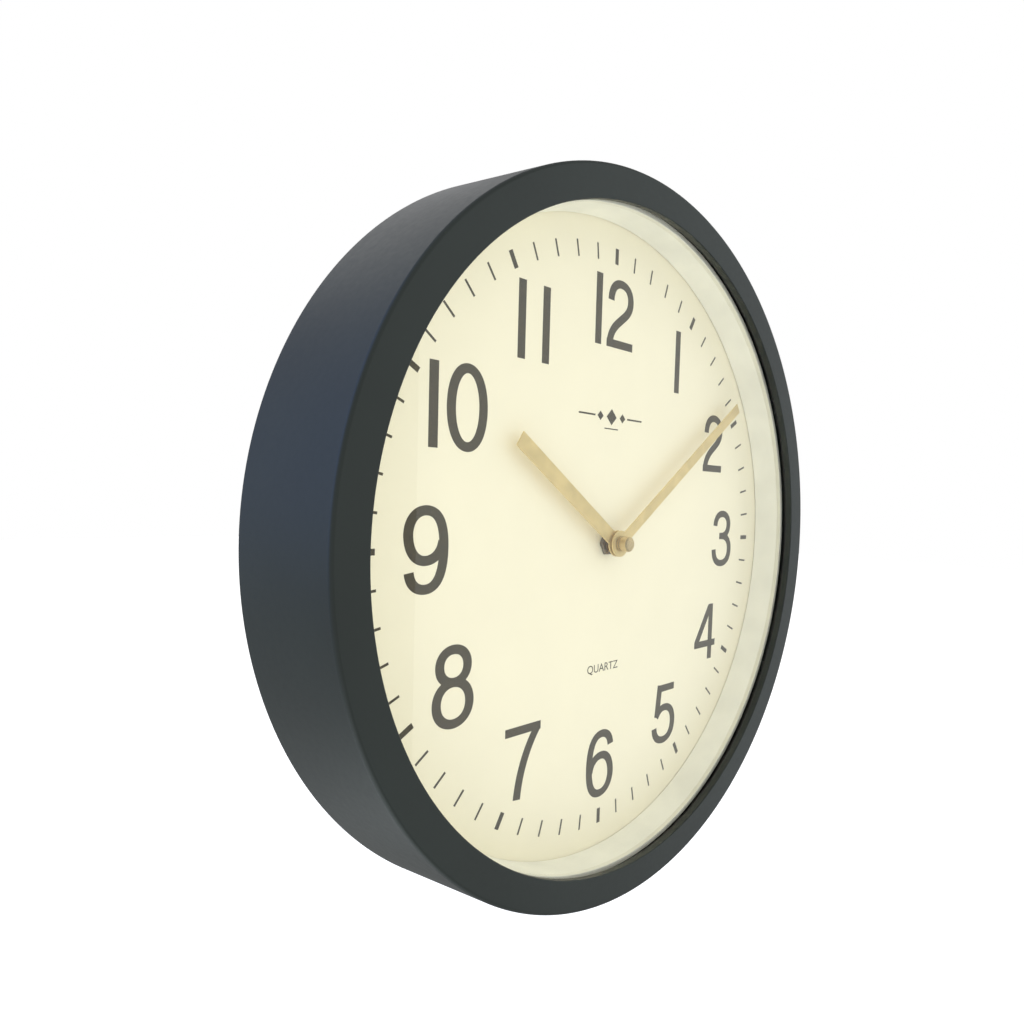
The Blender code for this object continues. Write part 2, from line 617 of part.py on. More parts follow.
def make_glass_and_ring():
    """The gasket under the flange, the flat glass, and the cream ring between glass and dial."""
    gasket = [
        (GLASS_RADIUS - GASKET_WIDTH, level(GASKET_DEPTH)),
        (GLASS_RADIUS, level(GASKET_DEPTH)),
        (GLASS_RADIUS, level(GASKET_DEPTH + GASKET_THICKNESS)),
        (GLASS_RADIUS - GASKET_WIDTH, level(GASKET_DEPTH + GASKET_THICKNESS)),
    ]
    place(finish(turned("lens_gasket", gasket, CASE_SEGMENTS, closed=True), RUBBER))
    glass = plate(
        "glass_lens",
        [circle(GLASS_RADIUS, CASE_SEGMENTS)],
        level(GLASS_DEPTH),
        level(GLASS_DEPTH + GLASS_THICKNESS),
    )
    place(finish(glass, GLASS_LOOK))
    mouth, foot = level(RING_DEPTH), level(DIAL_FACE - TOUCH_GAP)
    mouth_radius = RING_FOOT_RADIUS + RING_DRAFT
    section = [
        (mouth_radius, mouth),
        (GLASS_RADIUS, mouth),
        (GLASS_RADIUS, mouth - RING_FLANGE),
        (mouth_radius + RING_WALL, mouth - RING_FLANGE),
        (RING_FOOT_RADIUS + RING_WALL, foot + RING_FLANGE),
        (GLASS_RADIUS, foot + RING_FLANGE),
        (GLASS_RADIUS, foot),
        (RING_FOOT_RADIUS, foot),
    ]
    place(finish(turned("reflector_ring", section, CASE_SEGMENTS, closed=True), RING_PAINT))


def make_dial_and_board():
    """The thin dial and the board behind it, which the bosses carry."""
    hole = circle(BUSHING_HOLE, SHAFT_SEGMENTS)
    dial = plate("dial", [circle(GLASS_RADIUS, CASE_SEGMENTS), hole], level(DIAL_FACE), level(DIAL_BACK))
    place(finish(dial, DIAL_CARD))
    outlines = [circle(BOARD_RADIUS, CASE_SEGMENTS), hole]
    board = plate("backing_board", outlines, level(BOARD_DEPTH), level(BOARD_BACK))
    place(finish(board, BOARD_LOOK, smooth=False))
    hole_radius = SCREW_RADIUS + 2 * TOUCH_GAP
    front, back = level(BOARD_DEPTH) + CUT_PAST, level(BOARD_BACK) - CUT_PAST
    holes = ring_of_rods("cut_board_holes", hole_radius, front, back)
    combine(board, as_cutter(place(holes)), "DIFFERENCE")


def make_board_screws():
    """The pan-head screws that hold the board to the bosses."""
    seat = level(BOARD_BACK + TOUCH_GAP)
    crown = seat - SCREW_HEAD_HEIGHT
    profile = [
        (0.0, seat + SCREW_LENGTH),
        (SCREW_POINT_RADIUS, seat + SCREW_LENGTH),
        (SCREW_RADIUS, seat + SCREW_LENGTH - SCREW_POINT_LENGTH),
        (SCREW_RADIUS, seat),
        (SCREW_HEAD_RADIUS, seat),
        (SCREW_HEAD_RADIUS, crown + SCREW_HEAD_EDGE),
        (SCREW_HEAD_RADIUS - SCREW_HEAD_EDGE, crown),
        (SCREW_RECESS_RADIUS, crown),
        (SCREW_RECESS_RADIUS, crown + SCREW_RECESS_DEPTH),
        (0.0, crown + SCREW_RECESS_DEPTH),
    ]
    for index in range(BOSS_COUNT):
        screw = finish(turned(f"board_screw_{index + 1}", profile, SMALL_SEGMENTS), STEEL)
        place(screw, polar(BOSS_CIRCLE, boss_bearing(index)))


# ---- Hands and their stack -----------------------------------------------------------------------
def hand_outline(length, width):
    """A straight baton with a round eye, pointing at 12."""
    spread = math.degrees(math.asin(width / 2 / HAND_EYE_RADIUS))
    eye = arc(CENTRE_PLACE, HAND_EYE_RADIUS, 90 + spread, 450 - spread, EYE_SEGMENTS)
    return eye + [(width / 2, length), (-width / 2, length)]


def make_hands():
    """The hour hand on its collet, the minute hand, and the cap nut that holds it."""
    collet_bore = HOUR_PIPE_RADIUS + TOUCH_GAP
    blade = plate(
        "hour_hand",
        [hand_outline(HOUR_HAND_LENGTH, HOUR_HAND_WIDTH)],
        level(HOUR_HAND_FRONT),
        level(HOUR_HAND_BACK),
    )
    hour_hand = finish(blade, GOLD, smooth=False)
    add_rod(
        hour_hand,
        "collet",
        CENTRE_PLACE,
        collet_bore + COLLET_WALL,
        level(HOUR_HAND_BACK) + HAND_THICKNESS / 2,
        level(COLLET_BACK),
        EYE_SEGMENTS,
    )
    cut_hole(
        hour_hand,
        "collet_bore",
        CENTRE_PLACE,
        collet_bore,
        level(HOUR_HAND_FRONT) + CUT_PAST,
        level(COLLET_BACK) - CUT_PAST,
        EYE_SEGMENTS,
    )
    place(hour_hand, turn=-HOUR_HAND_ANGLE)

    outline = hand_outline(MINUTE_HAND_LENGTH, MINUTE_HAND_WIDTH)
    eye_hole = circle(STUD_RADIUS + TOUCH_GAP, SHAFT_SEGMENTS)
    minute_hand = plate(
        "minute_hand", [outline, eye_hole], level(MINUTE_HAND_FRONT), level(MINUTE_HAND_BACK)
    )
    place(finish(minute_hand, GOLD), turn=-MINUTE_HAND_ANGLE)

    front, back = level(CAP_FRONT), level(CAP_BACK)
    bore = STUD_RADIUS + TOUCH_GAP
    profile = [
        (0.0, front),
        (CAP_RADIUS - CAP_CHAMFER, front),
        (CAP_RADIUS, front - CAP_CHAMFER),
        (CAP_RADIUS, back),
        (bore, back),
        (bore, front - CAP_FLOOR),
        (0.0, front - CAP_FLOOR),
    ]
    place(finish(turned("cap_nut", profile, EYE_SEGMENTS), BRASS))


def make_bushing_and_nut():
    """The threaded bushing that passes through dial and board, and the hexagon nut on it."""
    front, back = level(BUSHING_FRONT), level(HOUSING_FLOOR)
    section = [(BUSHING_BORE, front), (BUSHING_RADIUS, front), (BUSHING_RADIUS, back), (BUSHING_BORE, back)]
    place(finish(turned("threaded_bushing", section, EYE_SEGMENTS, closed=True), BRASS))
    corner_radius = NUT_ACROSS_FLATS / math.sqrt(3)
    hexagon = arc(CENTRE_PLACE, corner_radius, 0, 300, 5)
    outlines = [hexagon, circle(BUSHING_HOLE, SHAFT_SEGMENTS)]
    nut = plate("dial_nut", outlines, level(NUT_FRONT), level(NUT_BACK))
    place(finish(nut, DARK_STEEL))


def make_washer_and_hanger():
    """The rubber washer and the bent steel plate that the clock hangs from."""
    washer = plate(
        "rubber_washer",
        [circle(WASHER_RADIUS, EYE_SEGMENTS), circle(BUSHING_HOLE, SHAFT_SEGMENTS)],
        level(WASHER_DEPTH),
        level(WASHER_DEPTH + WASHER_THICKNESS),
    )
    place(finish(washer, RUBBER))

    foot = level(HANGER_DEPTH + HANGER_THICKNESS / 2)
    upright = foot - HANGER_STEP
    shelf = HANGER_SHELF + HANGER_THICKNESS / 2
    line = [(-HANGER_TAIL, foot)]
    line += arc((shelf - HANGER_BEND, foot - HANGER_BEND), HANGER_BEND, 90, 0, 4)
    line += arc((shelf + HANGER_BEND, upright + HANGER_BEND), HANGER_BEND, 180, 270, 4)
    line += [(HANGER_TOP, upright)]
    shape = bmesh.new()
    left = [shape.verts.new((-HANGER_WIDTH / 2, y, z)) for y, z in line]
    right = [shape.verts.new((HANGER_WIDTH / 2, y, z)) for y, z in line]
    edges = [shape.edges.new(pair) for side in (left, right) for pair in zip(side, side[1:])]
    bmesh.ops.bridge_loops(shape, edges=edges)
    bmesh.ops.recalc_face_normals(shape, faces=shape.faces)
    mesh = bpy.data.meshes.new("hanger_plate")
    shape.to_mesh(mesh)
    shape.free()
    hanger = finish(bpy.data.objects.new("hanger_plate", mesh), STEEL, smooth=False)
    thicken = hanger.modifiers.new("sheet", "SOLIDIFY")
    thicken.thickness = HANGER_THICKNESS
    thicken.offset = 0.0
    cut_hole(hanger, "hanger_bushing", CENTRE_PLACE, BUSHING_HOLE, foot + CUT_PAST, foot - CUT_PAST)
    keyhole = (0.0, KEYHOLE_HEIGHT)
    cut_hole(hanger, "keyhole", keyhole, KEYHOLE_RADIUS, upright + CUT_PAST, upright - CUT_PAST)
    slot_end = KEYHOLE_HEIGHT + KEYHOLE_RISE
    outline = [(-KEYHOLE_SLOT, KEYHOLE_HEIGHT), (KEYHOLE_SLOT, KEYHOLE_HEIGHT)]
    outline += arc((0.0, slot_end), KEYHOLE_SLOT, 0, 180, 8)
    slot = plate("cut_keyhole_slot", [outline], upright + CUT_PAST, upright - CUT_PAST)
    combine(hanger, as_cutter(place(slot)), "DIFFERENCE")
    place(hanger)


# ---- Movement ------------------------------------------------------------------------------------
def make_housing():
    """The black box of the movement: a room for the wheels, a bay for the battery, posts and pillars."""
    front, floor, back = level(HOUSING_DEPTH), level(HOUSING_FLOOR), level(HOUSING_BACK)
    half = HOUSING_WIDTH / 2
    outline = rounded_box(-half, HOUSING_BOTTOM, half, HOUSING_TOP, HOUSING_CORNER)
    housing = finish(plate("movement_housing", [outline], front, back), BLACK_PLASTIC, smooth=False)
    rooms = (
        ("mechanism", -MECHANISM_FLOOR, MECHANISM_TOP),
        ("battery_bay", BAY_BOTTOM, BAY_TOP),
    )
    for name, low, high in rooms:
        room = rounded_box(-MECHANISM_HALF, low, MECHANISM_HALF, high, HOUSING_CORNER / 2, 2)
        tool = plate(f"cut_{name}", [room], floor, back - CUT_PAST)
        combine(housing, as_cutter(place(tool)), "DIFFERENCE")
    buried = floor + HOUSING_WALL / 2
    third_pin_end = level(THIRD_LAYER + WHEEL_THICKNESS - PINION_OVERHANG)
    post_end = level(CENTRE_LAYER - LAYER_GAP)
    bridge_front = level(BRIDGE_DEPTH - TOUCH_GAP)
    add_rod(housing, "third_post", THIRD_PLACE, POST_RADIUS, buried, post_end, SMALL_SEGMENTS)
    add_rod(housing, "third_pin", THIRD_PLACE, PIN_RADIUS, buried, third_pin_end, SMALL_SEGMENTS)
    minute_pin_end = level(MINUTE_LAYER + WHEEL_THICKNESS - PINION_OVERHANG)
    add_rod(housing, "minute_pin", MINUTE_WHEEL_PLACE, PIN_RADIUS, buried, minute_pin_end, SMALL_SEGMENTS)
    rotor_seat = level(STATOR_LAYER - LAYER_GAP)
    add_rod(housing, "rotor_post", ROTOR_PLACE, POST_RADIUS, buried, rotor_seat, SMALL_SEGMENTS)
    knob_seat = level(MINUTE_LAYER - LAYER_GAP)
    add_rod(housing, "knob_post", KNOB_PLACE, 2 * POST_RADIUS, buried, knob_seat, SMALL_SEGMENTS)
    for index, pillar in enumerate(PILLARS):
        add_rod(housing, f"pillar_{index}", pillar, PILLAR_RADIUS, buried, bridge_front, SMALL_SEGMENTS)
        tip_end = bridge_front - BRIDGE_THICKNESS
        add_rod(housing, f"pillar_tip_{index}", pillar, PILLAR_TIP_RADIUS, buried, tip_end, SMALL_SEGMENTS)
    cut_hole(housing, "bushing", CENTRE_PLACE, BUSHING_HOLE, front + CUT_PAST, floor - CUT_PAST)
    pivot = PIN_RADIUS + RUN_GAP
    socket = rotor_seat + PIVOT_SOCKET
    cut_hole(housing, "rotor_pivot", ROTOR_PLACE, pivot, socket, rotor_seat - CUT_PAST, SMALL_SEGMENTS)
    knob_pivot = KNOB_SHAFT_RADIUS + RUN_GAP
    cut_hole(housing, "knob_pivot", KNOB_PLACE, knob_pivot, floor, knob_seat - CUT_PAST)
    place(housing)


def make_bridge_and_cover():
    """The plate that carries the rear pivots, and the cover over the wheels."""
    outline = rounded_box(BRIDGE_LEFT, BRIDGE_BOTTOM, BRIDGE_RIGHT, BRIDGE_TOP, HOUSING_CORNER)
    pivot = PIN_RADIUS + RUN_GAP
    holes = [
        circle(SECONDS_ARBOR_RADIUS + RUN_GAP, SMALL_SEGMENTS),
        circle(pivot, SMALL_SEGMENTS, ROTOR_PLACE),
        circle(KNOB_SHAFT_RADIUS + 2 * TOUCH_GAP, SMALL_SEGMENTS, KNOB_PLACE),
    ]
    holes += [circle(PILLAR_TIP_RADIUS + TOUCH_GAP, SMALL_SEGMENTS, pillar) for pillar in PILLARS]
    front, back = level(BRIDGE_DEPTH), level(BRIDGE_DEPTH + BRIDGE_THICKNESS)
    bridge = finish(plate("train_bridge", [outline] + holes, front, back), WHITE_PLASTIC, smooth=False)
    pin_front = level(SECONDS_LAYER + PINION_OVERHANG)
    pin_back = front - BRIDGE_THICKNESS / 2
    add_rod(bridge, "idler_pin", INTERMEDIATE_PLACE, PIN_RADIUS, pin_front, pin_back, SMALL_SEGMENTS)
    place(bridge)

    lid = rounded_box(
        -MECHANISM_HALF + TOUCH_GAP,
        -MECHANISM_FLOOR + TOUCH_GAP,
        MECHANISM_HALF - TOUCH_GAP,
        MECHANISM_TOP - TOUCH_GAP,
        HOUSING_CORNER / 2,
        2,
    )
    shaft_hole = circle(KNOB_SHAFT_RADIUS + RUN_GAP, SHAFT_SEGMENTS, KNOB_PLACE)
    cover = plate("movement_cover", [lid, shaft_hole], level(COVER_DEPTH), level(HOUSING_BACK))
    place(finish(cover, BLACK_PLASTIC))


def make_motion_work():
    """The cannon pinion, minute wheel and hour wheel, which turn the hands, and the setting knob."""
    cannon_phase = 0.0
    pinion_front = MINUTE_LAYER - PINION_OVERHANG
    pinion_back = MINUTE_LAYER + WHEEL_THICKNESS + PINION_OVERHANG
    shank_end = THIRD_LAYER - LAYER_GAP + PINION_OVERHANG
    stud_front = level(CAP_FRONT + CAP_FLOOR + TOUCH_GAP)
    socket = SECONDS_ARBOR_RADIUS + RUN_GAP
    socket_front = level(CENTRE_LAYER)
    profile = [
        (0.0, stud_front),
        (STUD_RADIUS, stud_front),
        (STUD_RADIUS, level(CANNON_SHOULDER)),
        (CANNON_RADIUS, level(CANNON_SHOULDER)),
        (CANNON_RADIUS, level(pinion_front) - PINION_OVERHANG),
        (CENTRE_SHANK_RADIUS, level(pinion_front) - PINION_OVERHANG),
        (CENTRE_SHANK_RADIUS, level(shank_end)),
        (socket, level(shank_end)),
        (socket, socket_front),
        (0.0, socket_front),
    ]
    cannon = finish(turned("cannon_pinion", profile, SHAFT_SEGMENTS), BRASS)
    toothed = gear(
        "add_cannon_teeth",
        CANNON_TEETH,
        MOTION_MODULE,
        cannon_phase,
        pinion_front,
        pinion_back - pinion_front,
    )
    combine(cannon, as_cutter(place(toothed)), "UNION")
    place(cannon)

    minute_phase = meshed_phase(CANNON_TEETH, cannon_phase, MINUTE_WHEEL_BEARING, MINUTE_WHEEL_TEETH)
    wheel_with_pinion(
        "minute_wheel",
        (MINUTE_WHEEL_TEETH, MOTION_MODULE, minute_phase, MINUTE_LAYER),
        (MINUTE_PINION_TEETH, HOUR_MODULE, 0.0),
        PIN_RADIUS + RUN_GAP,
        WHITE_PLASTIC,
        MINUTE_WHEEL_PLACE,
    )

    back_bearing = MINUTE_WHEEL_BEARING + math.pi
    hour_phase = meshed_phase(MINUTE_PINION_TEETH, 0.0, back_bearing, HOUR_WHEEL_TEETH)
    toothed = gear("hour_wheel", HOUR_WHEEL_TEETH, HOUR_MODULE, hour_phase, HOUR_LAYER)
    hour_wheel = finish(toothed, WHITE_PLASTIC, smooth=False)
    pipe_front = level(HOUR_HAND_FRONT)
    pipe_back = level(HOUR_LAYER + WHEEL_THICKNESS)
    inside_wheel = level(HOUR_LAYER + WHEEL_THICKNESS / 2)
    add_rod(hour_wheel, "hour_pipe", CENTRE_PLACE, HOUR_PIPE_RADIUS, pipe_front, inside_wheel, EYE_SEGMENTS)
    bore_front, bore_back = pipe_front + CUT_PAST, pipe_back - CUT_PAST
    cut_hole(hour_wheel, "hour_bore", CENTRE_PLACE, HOUR_BORE, bore_front, bore_back, EYE_SEGMENTS)
    place(hour_wheel)

    knob_phase = meshed_phase(MINUTE_WHEEL_TEETH, minute_phase, KNOB_BEARING, KNOB_TEETH)
    shaft_front = HOUSING_FLOOR + TOUCH_GAP
    notched = []
    for index in range(KNOB_NOTCHES * 2):
        bearing = math.pi * index / KNOB_NOTCHES
        notched.append(polar(KNOB_RADIUS - KNOB_NOTCH_DEPTH * (index % 2), bearing))
    disc = plate("setting_knob", [notched], level(KNOB_DEPTH), level(KNOB_BACK))
    knob = finish(disc, RED_PLASTIC, smooth=False)
    shaft_back = level(KNOB_DEPTH + KNOB_THICKNESS / 2)
    add_rod(knob, "knob_shaft", KNOB_PLACE, KNOB_SHAFT_RADIUS, level(shaft_front), shaft_back)
    knob_teeth = gear("add_knob_teeth", KNOB_TEETH, MOTION_MODULE, knob_phase, MINUTE_LAYER)
    combine(knob, as_cutter(place(knob_teeth, KNOB_PLACE)), "UNION")
    place(knob, KNOB_PLACE)


def make_going_train():
    """The wheels from the motor's rotor down to the centre wheel, sixty to one and thirty to one."""
    shank_bore = CENTRE_SHANK_RADIUS + RUN_GAP
    seconds_phase = 0.0
    third_phase = meshed_phase(SECONDS_PINION_TEETH, 0.0, THIRD_WHEEL_BEARING, THIRD_WHEEL_TEETH)
    wheel_with_pinion(
        "third_wheel",
        (THIRD_WHEEL_TEETH, THIRD_MODULE, third_phase, THIRD_LAYER),
        (THIRD_PINION_TEETH, CENTRE_MODULE, 0.0),
        PIN_RADIUS + RUN_GAP,
        WHITE_PLASTIC,
        THIRD_PLACE,
    )
    back_bearing = THIRD_WHEEL_BEARING + math.pi
    centre_phase = meshed_phase(THIRD_PINION_TEETH, 0.0, back_bearing, CENTRE_WHEEL_TEETH)
    centre = gear("centre_wheel", CENTRE_WHEEL_TEETH, CENTRE_MODULE, centre_phase, CENTRE_LAYER)
    place(finish(centre, BRASS, smooth=False))
    bore_top = level(CENTRE_LAYER) + CUT_PAST
    bore_bottom = level(CENTRE_LAYER + WHEEL_THICKNESS) - CUT_PAST
    cut_hole(centre, "centre_bore", CENTRE_PLACE, shank_bore, bore_top, bore_bottom)

    toothed = gear("seconds_wheel", SECONDS_WHEEL_TEETH, SECONDS_MODULE, seconds_phase, SECONDS_LAYER)
    seconds = finish(toothed, WHITE_PLASTIC, smooth=False)
    pinion_front = SECONDS_LAYER - LAYER_PITCH - PINION_OVERHANG
    pinion_length = LAYER_PITCH + PINION_OVERHANG + WHEEL_THICKNESS / 2
    pinion = gear(
        "add_seconds_pinion", SECONDS_PINION_TEETH, THIRD_MODULE, 0.0, pinion_front, pinion_length
    )
    combine(seconds, as_cutter(place(pinion)), "UNION")
    arbor_front = level(CENTRE_LAYER + TOUCH_GAP)
    arbor_back = level(BRIDGE_DEPTH + BRIDGE_THICKNESS)
    radius = SECONDS_ARBOR_RADIUS
    add_rod(seconds, "seconds_arbor", CENTRE_PLACE, radius, arbor_front, arbor_back, SMALL_SEGMENTS)
    place(seconds)

    bearing = INTERMEDIATE_BEARING
    idler_phase = meshed_phase(SECONDS_WHEEL_TEETH, seconds_phase, bearing, INTERMEDIATE_PINION_TEETH)
    wheel_with_pinion(
        "intermediate_wheel",
        (INTERMEDIATE_WHEEL_TEETH, ROTOR_MODULE, 0.0, INTERMEDIATE_LAYER),
        (INTERMEDIATE_PINION_TEETH, SECONDS_MODULE, idler_phase),
        PIN_RADIUS + RUN_GAP,
        BLUE_PLASTIC,
        INTERMEDIATE_PLACE,
    )


def make_motor():
    """The rotor with its magnet and pinion, the stator, and the coil on its core."""
    stator_middle = level(STATOR_LAYER + STATOR_THICKNESS / 2)
    magnet_top = stator_middle + MAGNET_THICKNESS / 2
    magnet_bottom = stator_middle - MAGNET_THICKNESS / 2
    pivot_top = level(STATOR_LAYER - LAYER_GAP) + PIVOT_SOCKET - TOUCH_GAP
    pivot_bottom = level(BRIDGE_DEPTH + BRIDGE_THICKNESS)
    profile = [
        (0.0, pivot_top),
        (PIN_RADIUS, pivot_top),
        (PIN_RADIUS, magnet_top),
        (MAGNET_RADIUS, magnet_top),
        (MAGNET_RADIUS, magnet_bottom),
        (PIN_RADIUS, magnet_bottom),
        (PIN_RADIUS, pivot_bottom),
        (0.0, pivot_bottom),
    ]
    rotor = finish(turned("rotor", profile, SHAFT_SEGMENTS), MAGNET)
    phase = meshed_phase(INTERMEDIATE_WHEEL_TEETH, 0.0, ROTOR_BEARING, ROTOR_TEETH)
    front = INTERMEDIATE_LAYER - PINION_OVERHANG
    length = WHEEL_THICKNESS + 2 * PINION_OVERHANG
    teeth = gear("add_rotor_teeth", ROTOR_TEETH, ROTOR_MODULE, phase, front, length)
    combine(rotor, as_cutter(place(teeth, ROTOR_PLACE)), "UNION")
    place(rotor, ROTOR_PLACE)

    left, right = COIL_CENTRE - STATOR_HALF, COIL_CENTRE + STATOR_HALF
    top = COIL_HEIGHT + CORE_WIDTH / 2 + TOUCH_GAP
    outline = [
        (left, STATOR_BOTTOM),
        (right, STATOR_BOTTOM),
        (right, top),
        (right - STATOR_LEG, top),
        (right - STATOR_LEG, STATOR_BRIDGE_TOP),
        (left + STATOR_LEG, STATOR_BRIDGE_TOP),
        (left + STATOR_LEG, top),
        (left, top),
    ]
    hole = circle(MAGNET_RADIUS + ROTOR_AIR_GAP, SHAFT_SEGMENTS, ROTOR_PLACE)
    stator = plate("stator", [outline, hole], level(STATOR_LAYER), level(STATOR_LAYER + STATOR_THICKNESS))
    place(finish(stator, STEEL))

    core = block(
        "coil_core",
        left,
        COIL_HEIGHT - CORE_WIDTH / 2,
        right,
        COIL_HEIGHT + CORE_WIDTH / 2,
        level(CORE_LAYER),
        level(CORE_LAYER + STATOR_THICKNESS),
    )
    place(finish(core, STEEL))
    make_coil()


def make_coil():
    """The bobbin and its winding, turned about the core, which lies along X."""
    end, room = COIL_LENGTH / 2, COIL_LENGTH / 2 - COIL_FLANGE
    bobbin = [
        (BOBBIN_BORE, end),
        (COIL_RADIUS, end),
        (COIL_RADIUS, room),
        (BOBBIN_RADIUS, room),
        (BOBBIN_RADIUS, -room),
        (COIL_RADIUS, -room),
        (COIL_RADIUS, -end),
        (BOBBIN_BORE, -end),
    ]
    wire_in, wire_out = BOBBIN_RADIUS + TOUCH_GAP, COIL_RADIUS - TOUCH_GAP
    wire_end = room - TOUCH_GAP
    winding = [(wire_in, wire_end), (wire_out, wire_end), (wire_out, -wire_end), (wire_in, -wire_end)]
    axis_z = level(CORE_LAYER + STATOR_THICKNESS / 2)
    for name, section, look in (
        ("coil_bobbin", bobbin, BLUE_PLASTIC),
        ("coil_winding", winding, COPPER),
    ):
        piece = finish(turned(name, section, SHAFT_SEGMENTS, closed=True), look)
        place(piece, (COIL_CENTRE, COIL_HEIGHT), axis_z)
        piece.rotation_euler = (0.0, math.pi / 2, 0.0)


def make_electronics():
    """The circuit board with its chip and crystal."""
    right = MECHANISM_HALF - CIRCUIT_TO_WALL
    left = right - CIRCUIT_WIDTH
    bottom = -MECHANISM_FLOOR + CIRCUIT_TO_WALL
    front = level(CENTRE_LAYER - LAYER_GAP)
    back = front - CIRCUIT_THICKNESS
    board = block("circuit_board", left, bottom, right, bottom + CIRCUIT_HEIGHT, front, back)
    place(finish(board, CIRCUIT_GREEN))

    seat = back - TOUCH_GAP
    crown = seat - CHIP_HEIGHT
    dome = [(0.0, seat), (CHIP_RADIUS, seat), (CHIP_CROWN_RADIUS, crown), (0.0, crown)]
    chip = finish(turned("timing_chip", dome, SMALL_SEGMENTS), BLACK_PLASTIC)
    place(chip, (left + CHIP_RADIUS + SEAT_GAP, bottom + CIRCUIT_HEIGHT - CHIP_FROM_TOP))

    length = CRYSTAL_LENGTH / 2
    crystal = finish(rod("quartz_crystal", CRYSTAL_RADIUS, length, -length, SMALL_SEGMENTS), STEEL)
    place(crystal, (right - 2 * CRYSTAL_RADIUS, bottom + length + SEAT_GAP), seat - CRYSTAL_RADIUS)
    crystal.rotation_euler = (math.pi / 2, 0.0, 0.0)


def make_battery_and_contacts():
    """The battery lying along X in its bay, and the strips that touch its ends."""
    end = BATTERY_BODY / 2
    profile = [
        (0.0, end + BATTERY_NUB),
        (BATTERY_NUB_RADIUS, end + BATTERY_NUB),
        (BATTERY_NUB_RADIUS, end),
        (BATTERY_RADIUS - BATTERY_EDGE, end),
        (BATTERY_RADIUS, end - BATTERY_EDGE),
        (BATTERY_RADIUS, -end + BATTERY_EDGE),
        (BATTERY_RADIUS - BATTERY_EDGE, -end),
        (0.0, -end),
    ]
    battery = finish(turned("battery", profile, EYE_SEGMENTS), BATTERY_SLEEVE)
    axis_z = level(BATTERY_AXIS_DEPTH)
    place(battery, (BATTERY_CENTRE, BATTERY_HEIGHT), axis_z)
    battery.rotation_euler = (0.0, math.pi / 2, 0.0)

    low, high = BATTERY_HEIGHT - CONTACT_HEIGHT / 2, BATTERY_HEIGHT + CONTACT_HEIGHT / 2
    front, back = axis_z + CONTACT_DEPTH / 2, axis_z - CONTACT_DEPTH / 2
    right = BAY_LENGTH / 2 - TOUCH_GAP
    positive = block("positive_contact", right - CONTACT_THICKNESS, low, right, high, front, back)
    place(finish(positive, STEEL))

    left = -BAY_LENGTH / 2 + TOUCH_GAP
    inner = left + CONTACT_THICKNESS
    reach = inner + SPRING_REACH
    elbow = BATTERY_HEIGHT + CONTACT_THICKNESS
    leaf = [
        (left, low),
        (inner, low),
        (inner, high - SPRING_FOLD),
        (reach - CONTACT_THICKNESS, elbow),
        (reach - CONTACT_THICKNESS, low + SPRING_SHORTER),
        (reach, low + SPRING_SHORTER),
        (reach, elbow),
        (inner + CONTACT_THICKNESS, high),
        (left, high),
    ]
    place(finish(plate("negative_spring", [leaf], front, back), STEEL))


make_case()
make_glass_and_ring()
make_dial_and_board()
make_board_screws()
make_hands()
make_bushing_and_nut()
make_washer_and_hanger()
make_housing()
make_bridge_and_cover()
make_motion_work()
make_going_train()
make_motor()
make_electronics()
make_battery_and_contacts()
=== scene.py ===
"""A schoolhouse wall clock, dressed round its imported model: painted case, glazed cream dial, two baton
hands, and the quartz movement it hangs from. Each sub-assembly is a class, and each finish is a small
class of its own. Everything is in metres, with the dial facing -Y and 12 o'clock towards +Z."""

import logging
import math
from dataclasses import dataclass, field
from enum import Enum

import bmesh
import bpy
from mathutils import Matrix, Vector
from mathutils.geometry import interpolate_bezier


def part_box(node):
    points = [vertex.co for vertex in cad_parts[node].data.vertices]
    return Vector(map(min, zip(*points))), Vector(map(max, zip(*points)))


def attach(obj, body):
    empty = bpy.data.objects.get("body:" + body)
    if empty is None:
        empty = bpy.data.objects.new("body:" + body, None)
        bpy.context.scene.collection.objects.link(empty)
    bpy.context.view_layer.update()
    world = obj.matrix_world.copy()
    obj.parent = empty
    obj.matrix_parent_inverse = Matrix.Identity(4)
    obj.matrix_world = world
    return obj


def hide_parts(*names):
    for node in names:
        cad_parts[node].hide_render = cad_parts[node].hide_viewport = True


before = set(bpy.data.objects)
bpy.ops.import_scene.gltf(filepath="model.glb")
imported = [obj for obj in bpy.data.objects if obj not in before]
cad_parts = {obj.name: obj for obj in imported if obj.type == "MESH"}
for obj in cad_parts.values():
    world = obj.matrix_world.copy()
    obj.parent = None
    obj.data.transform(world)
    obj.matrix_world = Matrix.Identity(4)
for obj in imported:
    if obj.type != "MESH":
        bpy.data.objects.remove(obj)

LOG = logging.getLogger("wall_clock")
MM = 0.001
Colour = tuple[float, float, float]
Point = tuple[float, float]
Socket = bpy.types.NodeSocket
Material = bpy.types.Material
BMesh = bmesh.types.BMesh
ORIGIN = (0.0, 0.0, 0.0)
WELD = 1e-7  # points closer than this are one point
SHARP_EDGE = 32.0  # degrees; edges that turn further stay sharp


class Body(Enum):
    """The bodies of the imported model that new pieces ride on."""

    CASE = "clock_case"
    MINUTE = "minute_hand"
    HOUR = "hour_hand"
    BATTERY = "battery"


class Grain(Enum):
    """How a metal or moulded surface was finished."""

    BRUSHED = "brushed"
    TURNED = "turned"
    STAMPED = "stamped"


